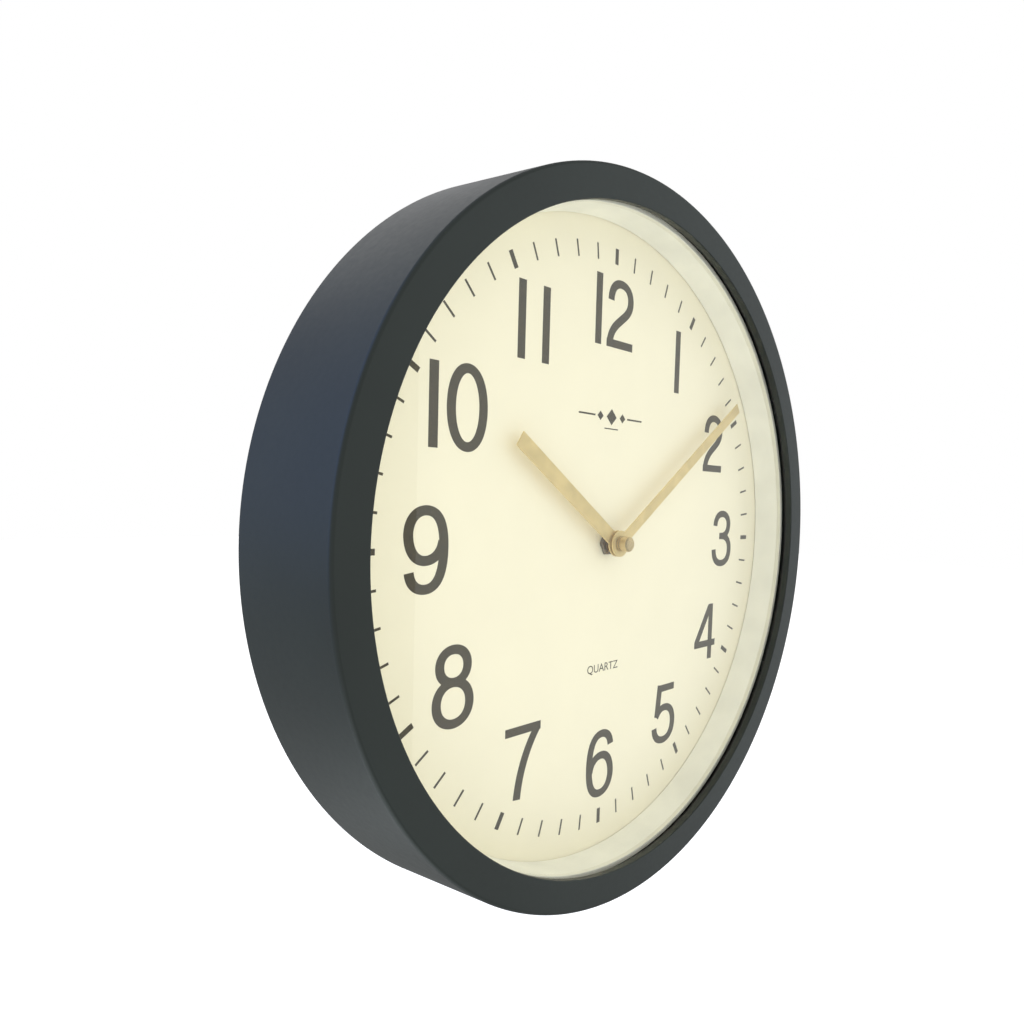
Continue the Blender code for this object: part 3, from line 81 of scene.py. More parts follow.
# ---- Finishes ----
class Mixer:
    """The shader tree of one finish while it is put together.

    Args:
        name: Name of the material.
        colour: Base colour, linear.
        roughness: Roughness where nothing varies it.
        metallic: 1 for bare metal, 0 for the rest.
    """

    def __init__(self, name: str, colour: Colour, roughness: float, metallic: float = 0.0) -> None:
        self.material = bpy.data.materials.new(name)
        self.material.use_nodes = True
        self.tree = self.material.node_tree
        self.shader = self.tree.nodes["Principled BSDF"]
        self.set("Base Color", (*colour, 1.0))
        self.set("Roughness", roughness)
        self.set("Metallic", metallic)
        self.material.diffuse_color = (*colour, 1.0)

    def set(self, socket: str, value: object) -> None:
        """Sets one of the shader's own sockets."""
        self.shader.inputs[socket].default_value = value

    def join(self, source: Socket, target: Socket) -> None:
        """Links two sockets."""
        self.tree.links.new(source, target)

    def node(self, kind: str, inputs: dict[str | int, object], **settings: object) -> bpy.types.Node:
        """Adds a node.

        Args:
            kind: The node's type name.
            inputs: What its sockets get, by name or number: another socket, or a value.
            **settings: Its properties by name.

        Returns:
            The new node.
        """
        node = self.tree.nodes.new(kind)
        for key, value in settings.items():
            setattr(node, key, value)
        for key, value in inputs.items():
            if isinstance(value, Socket):
                self.join(value, node.inputs[key])
            else:
                node.inputs[key].default_value = value
        return node

    def place(self, stretch: Colour = (1.0, 1.0, 1.0), centre: Colour = ORIGIN, turn: Colour = ORIGIN) -> Socket:
        """The object's coordinates, centred, turned and stretched.

        Args:
            stretch: Scale along each axis.
            centre: The point that becomes the pattern's origin, in metres.
            turn: Rotation about each axis, in radians.

        Returns:
            The vector socket for a texture.
        """
        coords = self.node("ShaderNodeTexCoord", {}).outputs["Object"]
        start = tuple(-value for value in centre)
        moved = self.node("ShaderNodeMapping", {"Vector": coords, "Location": start}).outputs["Vector"]
        shaped = self.node("ShaderNodeMapping", {"Vector": moved, "Rotation": turn, "Scale": stretch})
        return shaped.outputs["Vector"]

    def noise(self, scale: float, detail: float = 4.0, soft: float = 0.5, where: Socket | None = None) -> Socket:
        """Cloudy noise, 0 to 1: features per metre, octaves and how rough they are."""
        where = self.place() if where is None else where
        inputs = {"Vector": where, "Scale": scale, "Detail": detail, "Roughness": soft}
        return self.node("ShaderNodeTexNoise", inputs).outputs["Fac"]

    def wave(self, where: Socket, scale: float, kind: str = "BANDS", axis: str = "X", wander: float = 0.0) -> Socket:
        """Bands along an axis, or rings round it.

        Args:
            where: Vector socket.
            scale: The wave texture's scale.
            kind: BANDS or RINGS.
            axis: X, Y or Z.
            wander: Distortion.

        Returns:
            The value socket, 0 to 1.
        """
        settings = {"wave_type": kind, f"{kind.lower()}_direction": axis}
        inputs = {"Vector": where, "Scale": scale, "Distortion": wander}
        return self.node("ShaderNodeTexWave", inputs, **settings).outputs["Fac"]

    def span(self, value: Socket, low: float, high: float, start: float = 0.3, end: float = 0.7) -> Socket:
        """Maps a texture's value from start and end to low and high."""
        inputs = {"Value": value, "From Min": start, "From Max": end, "To Min": low, "To Max": high}
        return self.node("ShaderNodeMapRange", inputs).outputs["Result"]

    def tint(self, value: Socket, first: Colour, second: Colour, start: float = 0.3, end: float = 0.7) -> Socket:
        """Colours a texture's value.

        Args:
            value: Value socket.
            first: Colour at start.
            second: Colour at end.
            start: Value that gets the first colour.
            end: Value that gets the second.

        Returns:
            The colour socket.
        """
        ramp = self.node("ShaderNodeValToRGB", {"Fac": value})
        for stop, position, colour in zip(ramp.color_ramp.elements, (start, end), (first, second)):
            stop.position = position
            stop.color = (*colour, 1.0)
        return ramp.outputs["Color"]

    def over(self, amount: Socket, under: Socket, colour: Colour) -> Socket:
        """Lays a colour over a colour socket by an amount, 0 to 1."""
        inputs = {"Factor": amount, 6: under, 7: (*colour, 1.0)}
        return self.node("ShaderNodeMix", inputs, data_type="RGBA").outputs[2]

    def paint(self, colour: Socket) -> None:
        """Uses a colour socket as the base colour."""
        self.join(colour, self.shader.inputs["Base Color"])

    def polish(self, value: Socket) -> None:
        """Uses a value socket as the roughness."""
        self.join(value, self.shader.inputs["Roughness"])

    def emboss(self, height: Socket, depth: float, strength: float = 1.0) -> None:
        """Bumps the surface, on top of any bump it has.

        Args:
            height: Value socket.
            depth: Height of the bump, in metres.
            strength: Share of the bump that shows.
        """
        bump = self.node("ShaderNodeBump", {"Height": height, "Distance": depth, "Strength": strength})
        normal = self.shader.inputs["Normal"]
        if normal.is_linked:
            self.join(normal.links[0].from_socket, bump.inputs["Normal"])
        self.join(bump.outputs["Normal"], normal)


def scaled(colour: Colour, by: float) -> Colour:
    """A colour made darker or lighter."""
    return tuple(min(channel * by, 1.0) for channel in colour)


@dataclass(frozen=True)
class Enamel:
    """Semi-matt paint on spun steel, with a fine orange peel and slow changes of tone."""

    name: str = "case_enamel"
    colour: Colour = (0.0150, 0.0212, 0.0180)

    def dress(self) -> Material:
        """Makes the material."""
        mix = Mixer(self.name, self.colour, 0.42)
        clouds = mix.noise(14.0, 3.0)
        tone = mix.tint(clouds, scaled(self.colour, 0.90), scaled(self.colour, 1.12))
        specks = mix.noise(2600.0, 2.0)
        mix.paint(mix.over(mix.span(specks, 0.0, 0.30, 0.62, 0.80), tone, scaled(self.colour, 1.8)))
        mix.polish(mix.span(mix.noise(420.0, 3.0), 0.41, 0.45))
        mix.emboss(mix.noise(950.0, 2.0), 0.002 * MM, 0.4)
        mix.emboss(mix.noise(4200.0, 1.0), 0.001 * MM, 0.5)
        mix.set("Specular IOR Level", 0.42)
        return mix.material


@dataclass(frozen=True)
class Card:
    """Matt printed card, with short fibres and a slight mottle."""

    name: str = "dial_card"
    colour: Colour = (0.89, 0.835, 0.622)

    def dress(self) -> Material:
        """Makes the material."""
        mix = Mixer(self.name, self.colour, 0.62)
        mottle = mix.tint(mix.noise(30.0, 5.0), scaled(self.colour, 0.985), scaled(self.colour, 1.01))
        fibres = mix.noise(5200.0, 3.0, where=mix.place((1.0, 1.0, 0.25)))
        mix.paint(mix.over(mix.span(fibres, 0.0, 0.10, 0.60, 0.80), mottle, scaled(self.colour, 0.90)))
        mix.polish(mix.span(fibres, 0.56, 0.68))
        mix.emboss(fibres, 0.006 * MM, 0.35)
        mix.set("Specular IOR Level", 0.35)
        return mix.material


@dataclass(frozen=True)
class Ink:
    """Screen-printed ink, a little thinner in places."""

    name: str = "dial_ink"
    colour: Colour = (0.052, 0.042, 0.018)

    def dress(self) -> Material:
        """Makes the material."""
        mix = Mixer(self.name, self.colour, 0.5)
        thin = mix.noise(900.0, 4.0)
        mix.paint(mix.tint(thin, self.colour, scaled(self.colour, 1.5), 0.35, 0.75))
        mix.polish(mix.span(thin, 0.44, 0.58))
        mix.emboss(thin, 0.004 * MM, 0.4)
        return mix.material


@dataclass(frozen=True)
class Moulding:
    """Moulded plastic with a fine spark-eroded grain.

    Args:
        name: Name of the material.
        colour: Colour of the plastic.
        roughness: Middle of its roughness.
        grain: Grain cells per metre.
        depth: Depth of the grain, in metres.
    """

    name: str
    colour: Colour
    roughness: float = 0.45
    grain: float = 2400.0
    depth: float = 0.010 * MM

    def dress(self) -> Material:
        """Makes the material."""
        mix = Mixer(self.name, self.colour, self.roughness)
        slow = mix.noise(55.0, 3.0)
        mix.paint(mix.tint(slow, scaled(self.colour, 0.94), scaled(self.colour, 1.06)))
        fine = mix.noise(self.grain, 2.0)
        mix.polish(mix.span(fine, self.roughness - 0.06, self.roughness + 0.07))
        mix.emboss(fine, self.depth, 0.6)
        return mix.material


@dataclass(frozen=True)
class Metal:
    """Bare, plated or lacquered metal.

    Args:
        name: Name of the material.
        colour: Its reflecting colour.
        roughness: Middle of its roughness.
        grain: How it was finished.
        centre: Axis of turned marks, as a point in metres.
        metallic: Below 1 for a lacquer with metal flake.
        turn: Direction of brushing, in radians about each axis.
    """

    name: str
    colour: Colour
    roughness: float = 0.32
    grain: Grain = Grain.STAMPED
    centre: Colour = (0.0, 0.0, 0.0)
    metallic: float = 1.0
    turn: Colour = (0.0, 0.0, 0.0)

    def dress(self) -> Material:
        """Makes the material."""
        mix = Mixer(self.name, self.colour, self.roughness, self.metallic)
        if self.grain is Grain.BRUSHED:
            marks = mix.noise(1.0, 3.0, 0.6, mix.place((9000.0, 9000.0, 160.0), turn=self.turn))
            depth = 0.004 * MM
        elif self.grain is Grain.TURNED:
            marks = mix.wave(mix.place(centre=self.centre), 1100.0, "RINGS", "Y", 0.6)
            depth = 0.003 * MM
        else:
            marks = mix.noise(1500.0, 4.0)
            depth = 0.005 * MM
        stains = mix.noise(120.0, 4.0)
        mix.paint(mix.tint(stains, scaled(self.colour, 0.88), scaled(self.colour, 1.08)))
        mix.polish(mix.span(marks, self.roughness - 0.07, self.roughness + 0.09))
        mix.emboss(marks, depth, 0.5)
        return mix.material


@dataclass(frozen=True)
class Rubber:
    """Black rubber with bloom."""

    name: str = "black_rubber"
    colour: Colour = (0.022, 0.022, 0.022)

    def dress(self) -> Material:
        """Makes the material."""
        mix = Mixer(self.name, self.colour, 0.8)
        bloom = mix.noise(700.0, 4.0)
        mix.paint(mix.tint(bloom, self.colour, scaled(self.colour, 2.1), 0.4, 0.85))
        mix.polish(mix.span(bloom, 0.70, 0.88))
        mix.emboss(bloom, 0.010 * MM, 0.5)
        return mix.material


@dataclass(frozen=True)
class Fibreboard:
    """Brown hardboard whose outer face carries the print of the press screen."""

    name: str = "hardboard"
    colour: Colour = (0.200, 0.112, 0.058)
    mesh: float = 1.45 * MM

    def dress(self) -> Material:
        """Makes the material."""
        mix = Mixer(self.name, self.colour, 0.72)
        chips = mix.noise(620.0, 6.0, 0.65, mix.place((1.0, 1.0, 0.6)))
        tone = mix.tint(chips, scaled(self.colour, 0.62), scaled(self.colour, 1.45), 0.30, 0.72)
        patches = mix.noise(18.0, 3.0)
        mix.paint(mix.over(mix.span(patches, 0.0, 0.35, 0.45, 0.75), tone, scaled(self.colour, 0.75)))
        scale = math.pi / (10.0 * self.mesh)
        for axis in ("X", "Z"):
            mix.emboss(mix.wave(mix.place(), scale, "BANDS", axis, 0.5), 0.05 * MM, 0.6)
        mix.emboss(chips, 0.05 * MM, 0.6)
        mix.polish(mix.span(chips, 0.62, 0.82))
        mix.set("Specular IOR Level", 0.3)
        return mix.material


@dataclass(frozen=True)
class Winding:
    """Enamelled copper wire in close turns along X."""

    name: str = "copper_winding"
    colour: Colour = (0.62, 0.26, 0.11)
    wire: float = 0.16 * MM

    def dress(self) -> Material:
        """Makes the material."""
        mix = Mixer(self.name, self.colour, 0.3, 1.0)
        turns = mix.wave(mix.place(), math.pi / (10.0 * self.wire), "BANDS", "X", 0.3)
        mix.paint(mix.tint(turns, scaled(self.colour, 0.45), self.colour, 0.1, 0.6))
        mix.polish(mix.span(mix.noise(900.0), 0.24, 0.40))
        mix.emboss(turns, 0.03 * MM, 0.8)
        return mix.material


@dataclass(frozen=True)
class SolderMask:
    """Green lacquer over copper tracks."""

    name: str = "solder_mask"
    colour: Colour = (0.020, 0.135, 0.060)

    def dress(self) -> Material:
        """Makes the material."""
        mix = Mixer(self.name, self.colour, 0.3)
        tracks = mix.wave(mix.place(turn=(0.0, 0.8, 0.0)), 180.0, "BANDS", "X", 3.0)
        mix.paint(mix.tint(tracks, self.colour, scaled(self.colour, 1.9), 0.55, 0.62))
        mix.emboss(tracks, 0.03 * MM, 0.5)
        mix.polish(mix.span(mix.noise(800.0), 0.24, 0.38))
        return mix.material


@dataclass(frozen=True)
class PaneGlass:
    """Thin flat glass: light goes straight through it, and its faces reflect by their angle."""

    name: str = "clear_pane"
    index: float = 1.5
    tint: Colour = (0.992, 0.995, 0.990)
    both_faces: float = 1.7  # the near face answers for what both faces reflect

    def dress(self) -> Material:
        """Makes the material.

        Returns:
            Clear glass whose near face mixes in a mirror by the Fresnel law.
        """
        mix = Mixer(self.name, ORIGIN, 0.0)
        mix.tree.nodes.remove(mix.shader)
        mix.material.diffuse_color = (0.9, 0.95, 0.93, 0.2)
        clear = mix.node("ShaderNodeBsdfTransparent", {"Color": (*self.tint, 1.0)}).outputs["BSDF"]
        shine = mix.node("ShaderNodeBsdfGlossy", {"Roughness": 0.0}).outputs["BSDF"]
        edge = mix.node("ShaderNodeFresnel", {"IOR": self.index}).outputs["Fac"]
        back = mix.node("ShaderNodeNewGeometry", {}).outputs["Backfacing"]
        near = {0: back, 1: -self.both_faces, 2: self.both_faces}
        front = mix.node("ShaderNodeMath", near, operation="MULTIPLY_ADD").outputs["Value"]
        share = mix.node("ShaderNodeMath", {0: front, 1: edge}, operation="MULTIPLY").outputs["Value"]
        both = mix.node("ShaderNodeMixShader", {"Fac": share, 1: clear, 2: shine})
        mix.join(both.outputs["Shader"], mix.tree.nodes["Material Output"].inputs["Surface"])
        return mix.material


# ---- Making and placing pieces ----
def settle(name: str, bm: BMesh) -> bpy.types.Mesh:
    """Writes a working mesh into a new lasting one, and frees it."""
    mesh = bpy.data.meshes.new(name)
    bm.to_mesh(mesh)
    bm.free()
    return mesh


def linked(name: str, data: bpy.types.ID) -> bpy.types.Object:
    """Makes an object of its data and links it to the scene."""
    item = bpy.data.objects.new(name, data)
    bpy.context.scene.collection.objects.link(item)
    return item


def add_block(bm: BMesh, place: Colour, turn: float, size: Colour) -> None:
    """Adds a block of a size, turned about Y, centred on a place."""
    matrix = Matrix.Translation(place) @ Matrix.Rotation(turn, 4, "Y") @ Matrix.Diagonal((*size, 1.0))
    bmesh.ops.create_cube(bm, size=1.0, matrix=matrix)


def slab(inner: float, outer: float, front: float, back: float) -> list[Point]:
    """The half-section of a flat disc, or of a washer, between two radii."""
    return [(inner, front), (outer, front), (outer, back), (inner, back)]


@dataclass
class Turning:
    """A piece turned round an axis that runs along Y.

    Args:
        section: Corners of the half-section as (radius, y), in order.
        rounds: Radius of each rounded corner, by its place in section.
        centre: The axis, as (x, z).
        steps: Facets round the piece.
    """

    section: list[Point]
    rounds: dict[int, float] = field(default_factory=dict)
    centre: Point = (0.0, 0.0)
    steps: int = 192

    def mesh(self) -> BMesh:
        """Spins the section.

        Returns:
            A closed mesh whose faces point out.
        """
        bm = bmesh.new()
        corners = [bm.verts.new((radius, y, 0.0)) for radius, y in self.section]
        face = bm.faces.new(corners)
        for index, radius in self.rounds.items():
            corner = {"geom": [corners[index]], "offset": radius, "offset_type": "OFFSET", "affect": "VERTICES"}
            bmesh.ops.bevel(bm, **corner, segments=5, profile=0.5, material=-1)
        bmesh.ops.delete(bm, geom=bm.faces[:], context="FACES_ONLY")
        on_axis = [edge for edge in bm.edges if all(abs(v.co.x) < 1e-9 for v in edge.verts)]
        bmesh.ops.delete(bm, geom=on_axis, context="EDGES")
        turn = {"cent": ORIGIN, "axis": (0.0, 1.0, 0.0), "angle": math.tau, "steps": self.steps}
        bmesh.ops.spin(bm, geom=bm.verts[:] + bm.edges[:], **turn, use_merge=True, use_duplicate=False)
        bmesh.ops.remove_doubles(bm, verts=bm.verts[:], dist=WELD)
        bmesh.ops.recalc_face_normals(bm, faces=bm.faces[:])
        bmesh.ops.translate(bm, verts=bm.verts[:], vec=(self.centre[0], 0.0, self.centre[1]))
        return bm


def outline_mesh(outlines: list[list[Point]], thickness: float, edge: float) -> BMesh:
    """A flat plate from closed outlines, lying in XY and centred on it, with softened edges.

    Args:
        outlines: The outer outline, then any holes, as (x, y) points.
        thickness: Thickness of the plate.
        edge: Radius of its edges.

    Returns:
        The plate's mesh.
    """
    curve = bpy.data.curves.new("outline", "CURVE")
    curve.dimensions = "2D"
    curve.fill_mode = "BOTH"
    curve.extrude = thickness / 2 - edge
    curve.bevel_depth = edge
    curve.bevel_resolution = 2
    curve.offset = -edge
    for points in outlines:
        spline = curve.splines.new("POLY")
        spline.points.add(len(points) - 1)
        for target, (x, y) in zip(spline.points, points):
            target.co = (x, y, 0.0, 1.0)
        spline.use_cyclic_u = True
    return curve_mesh(curve)


def curve_mesh(curve: bpy.types.Curve) -> BMesh:
    """Turns a curve or a text into a mesh with its seams closed.

    Args:
        curve: The curve, which is removed.

    Returns:
        Its mesh.
    """
    holder = linked("curve", curve)
    graph = bpy.context.evaluated_depsgraph_get()
    mesh = bpy.data.meshes.new_from_object(holder.evaluated_get(graph))
    bm = bmesh.new()
    bm.from_mesh(mesh)
    bpy.data.objects.remove(holder)
    bpy.data.curves.remove(curve)
    bpy.data.meshes.remove(mesh)
    bmesh.ops.remove_doubles(bm, verts=bm.verts[:], dist=WELD)
    bmesh.ops.recalc_face_normals(bm, faces=bm.faces[:])
    return bm


def circle(radius: float, steps: int = 64) -> list[Point]:
    """Points round a circle about the origin."""
    return [(radius * math.cos(math.tau * i / steps), radius * math.sin(math.tau * i / steps)) for i in range(steps)]


class SubAssembly:
    """What every sub-assembly shares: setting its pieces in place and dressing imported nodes."""

    @staticmethod
    def set_piece(
        name: str, bm: BMesh, finish: Material, body: Body, slot: str, stands_for: tuple[str, ...] = ()
    ) -> None:
        """Makes an object of a finished mesh and hands it to its body.

        Args:
            name: Name of the piece.
            bm: Its mesh, in place. It is freed.
            finish: Its material.
            body: The body that it rides on.
            slot: The record's material slot.
            stands_for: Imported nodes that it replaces.
        """
        mesh = settle(name, bm)
        mesh.shade_smooth()
        mesh.set_sharp_from_angle(angle=math.radians(SHARP_EDGE))
        mesh.materials.append(finish)
        piece = linked(name, mesh)
        shading = piece.modifiers.new("flat_faces_stay_flat", "WEIGHTED_NORMAL")
        shading.mode = "FACE_AREA"
        shading.weight = 100
        shading.keep_sharp = True
        if stands_for:
            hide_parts(*stands_for)
        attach(piece, body.value)
        LOG.info("%s rides on %s: %d faces", name, body.value, len(mesh.polygons))

    @staticmethod
    def dress_node(node: str, finish: Material) -> None:
        """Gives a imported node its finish."""
        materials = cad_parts[node].data.materials
        materials.clear()
        materials.append(finish)
        LOG.info("%s keeps its packed shape, in %s", node, finish.name)


# ---- Case and glazing ----
@dataclass
class Case(SubAssembly):
    """The painted case: a deep wall and a flat front flange, with screw bosses behind the flange."""

    wall: float = 3.0 * MM
    flange_width: float = 13.3 * MM
    flange: float = 3.3 * MM
    front_edge: float = 1.4 * MM
    lip_edge: float = 0.5 * MM
    rim_edge: float = 0.8 * MM
    boss_circle: float = 146.0 * MM
    boss_radius: float = 3.3 * MM
    boss_bore: float = 1.4 * MM
    bosses: int = 6

    def build(self) -> None:
        """Turns the case and its bosses."""
        low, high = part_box("case_shell")
        outer = high.x
        inner = outer - self.wall
        mouth = outer - self.flange_width
        shelf = low.y + self.flange
        section = [(outer, high.y), (outer, low.y), (mouth, low.y), (mouth, shelf), (inner, shelf), (inner, high.y)]
        rounds = {0: self.rim_edge, 1: self.front_edge, 2: self.lip_edge, 3: 0.3 * MM, 4: 1.2 * MM, 5: 0.4 * MM}
        bm = Turning(section, rounds, steps=288).mesh()
        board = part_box("backing_board")[0].y
        for index in range(self.bosses):
            angle = math.radians(30 + 60 * index)
            place = (self.boss_circle * math.cos(angle), self.boss_circle * math.sin(angle))
            self.add_boss(bm, place, shelf - 0.6 * MM, board - 0.3 * MM)
        self.set_piece("painted_case", bm, Enamel().dress(), Body.CASE, "case_paint", ("case_shell",))

    def add_boss(self, bm: BMesh, place: Point, front: float, back: float) -> None:
        """Adds one tubular boss.

        Args:
            bm: The case's mesh.
            place: The boss's axis as (x, z).
            front: Its front end along Y.
            back: Its back end along Y.
        """
        section = slab(self.boss_bore, self.boss_radius, front, back)
        part = settle("boss", Turning(section, {2: 0.3 * MM}, place, 32).mesh())
        bm.from_mesh(part)
        bpy.data.meshes.remove(part)


@dataclass
class Glazing(SubAssembly):
    """Flat glass on a thin gasket behind the flange, and the cream ring that holds it off the dial."""

    gasket_width: float = 1.8 * MM
    ground_edge: float = 0.35 * MM
    ring_draft: float = 1.7 * MM
    ring_wall: float = 1.5 * MM
    ring_flange: float = 1.4 * MM
    ring_setback: float = 0.2 * MM

    def build(self) -> None:
        """Makes gasket, pane and ring."""
        low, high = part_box("lens_gasket")
        section = slab(high.x - self.gasket_width, high.x, low.y, high.y)
        gasket = Turning(section, {0: 0.2 * MM, 3: 0.2 * MM}, steps=256).mesh()
        self.set_piece("glass_gasket", gasket, Rubber().dress(), Body.CASE, "rubber", ("lens_gasket",))
        low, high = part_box("glass_lens")
        section = slab(0.0, high.x, low.y, high.y)
        pane = Turning(section, {1: self.ground_edge, 2: self.ground_edge}, steps=256).mesh()
        self.set_piece("flat_glass", pane, PaneGlass().dress(), Body.CASE, "clear_glass", ("glass_lens",))
        self.build_ring()

    def build_ring(self) -> None:
        """Turns the drafted ring with a flange at each end."""
        low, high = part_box("reflector_ring")
        outer = high.x
        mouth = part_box("case_shell")[1].x - Case.flange_width + self.ring_setback
        foot = mouth - self.ring_draft
        slope = self.ring_draft / (high.y - low.y)
        upper = low.y + self.ring_flange
        lower = high.y - self.ring_flange
        section = [
            (mouth, low.y),
            (outer, low.y),
            (outer, upper),
            (mouth - slope * self.ring_flange + self.ring_wall, upper),
            (foot + slope * self.ring_flange + self.ring_wall, lower),
            (outer, lower),
            (outer, high.y),
            (foot, high.y),
        ]
        ring = Turning(section, {0: 0.35 * MM, 7: 0.25 * MM}, steps=288).mesh()
        finish = Moulding("cream_moulding", (0.87, 0.86, 0.74), 0.55, 3000.0, 0.004 * MM)
        self.set_piece("cream_ring", ring, finish.dress(), Body.CASE, "cream_ring", ("reflector_ring",))


# ---- Dial ----
@dataclass(frozen=True)
class Stroke:
    """One pen stroke of a numeral, in millimetres from the numeral's lower left corner.

    Args:
        start: Where the pen starts.
        runs: Straight ends, or curves as two handles and an end.
        closed: Whether the stroke joins its own start.
    """

    start: Point
    runs: tuple[tuple[Point, ...], ...]
    closed: bool = False

    def points(self, rise: float, steps: int = 16) -> list[Vector]:
        """The stroke's centre line.

        Args:
            rise: How much taller than drawn, as a factor.
            steps: Points along each curve.

        Returns:
            Points along it, in metres, the last one left out if it is closed.
        """
        line = [Vector((*self.start, 0.0))]
        for run in self.runs:
            if len(run) == 1:
                line.append(Vector((*run[0], 0.0)))
                continue
            first, second, end = (Vector((*point, 0.0)) for point in run)
            line.extend(interpolate_bezier(line[-1], first, second, end, steps)[1:])
        if self.closed:
            line.pop()
        return [Vector((point.x, point.y * rise, 0.0)) * MM for point in line]


def oval(x: float, y: float, half_width: float, half_height: float) -> Stroke:
    """A closed oval stroke, a little squarer than an ellipse.

    Args:
        x: Centre from the numeral's left.
        y: Centre from its foot.
        half_width: Of the centre line.
        half_height: Of the centre line.

    Returns:
        The stroke.
    """
    across = 0.57 * half_width
    up = 0.60 * half_height
    right, left, top, foot = x + half_width, x - half_width, y + half_height, y - half_height
    runs = (
        ((right, y + up), (x + across, top), (x, top)),
        ((x - across, top), (left, y + up), (left, y)),
        ((left, y - up), (x - across, foot), (x, foot)),
        ((x + across, foot), (right, y - up), (right, y)),
    )
    return Stroke((right, y), runs, True)


FIGURE_UNITS = 29.0 * MM  # the height that the strokes are drawn for


@dataclass(frozen=True)
class Figure:
    """One figure: its width and its strokes."""

    width: float
    strokes: tuple[Stroke, ...]


def pen(start: Point, *curves: tuple[Point, ...]) -> Stroke:
    """A stroke from its start through any number of curves."""
    return Stroke(start, curves)


SIX = (
    pen(
        (17.0, 22.0), ((16.6, 25.6), (14.2, 27.9), (10.4, 27.9)), ((4.9, 27.9), (2.05, 23.0), (2.05, 13.6)),
        ((2.05, 5.3), (4.8, 1.2), (9.9, 1.2)), ((14.5, 1.2), (17.5, 4.7), (17.5, 9.8)),
    ),
    pen((17.48, 8.8), ((17.52, 14.6), (14.6, 18.2), (10.3, 18.2)), ((6.2, 18.2), (3.1, 15.4), (2.6, 11.6))),
)
FIGURES = {
    "0": Figure(19.2, (oval(9.6, 14.7, 7.55, 13.6),)),
    "1": Figure(4.1, (pen((2.05, 0.0), ((2.05, 29.0),)),)),
    "2": Figure(18.6, (
        pen(
            (2.5, 19.6), ((2.5, 24.4), (5.3, 27.2), (9.4, 27.2)), ((13.7, 27.2), (16.4, 24.7), (16.4, 20.9)),
            ((16.4, 16.6), (13.2, 14.6), (9.4, 11.9)), ((5.6, 9.2), (2.4, 6.6), (2.1, 1.2)),
        ),
        pen((0.0, 1.75), ((18.6, 1.75),)),
    )),
    "3": Figure(20.4, (
        pen(
            (2.8, 21.0), ((3.1, 25.0), (5.8, 27.3), (9.8, 27.3)), ((13.9, 27.3), (16.7, 25.1), (16.7, 21.6)),
            ((16.7, 18.0), (13.9, 15.6), (9.8, 15.6)), ((7.4, 15.6),),
        ),
        pen(
            (9.8, 15.6), ((15.0, 15.6), (18.2, 12.8), (18.2, 8.5)), ((18.2, 3.9), (14.9, 1.2), (10.0, 1.2)),
            ((5.1, 1.2), (2.1, 3.9), (2.05, 8.6)),
        ),
    )),
    "4": Figure(20.7, (
        pen((15.4, 0.0), ((15.4, 29.0),)),
        pen((14.4, 27.8), ((1.5, 8.7),)),
        pen((0.0, 8.3), ((20.7, 8.3),)),
    )),
    "5": Figure(20.0, (
        pen((3.9, 13.2), ((5.9, 28.7),)),
        pen((4.4, 26.95), ((18.3, 26.95),)),
        pen(
            (3.4, 13.2), ((5.2, 15.9), (7.6, 17.3), (10.4, 17.3)), ((15.1, 17.3), (17.9, 14.2), (17.9, 9.5)),
            ((17.9, 4.5), (14.8, 1.2), (9.9, 1.2)), ((5.3, 1.2), (2.3, 3.7), (2.05, 7.9)),
        ),
    )),
    "6": Figure(19.6, SIX),
    "7": Figure(20.1, (
        pen((0.0, 27.3), ((20.1, 27.3),)),
        pen((18.0, 26.6), ((12.4, 19.8), (8.2, 10.4), (7.1, -0.2))),
    )),
    "8": Figure(19.6, (oval(9.8, 22.0, 6.5, 5.9), oval(9.8, 8.65, 7.75, 7.45))),
}


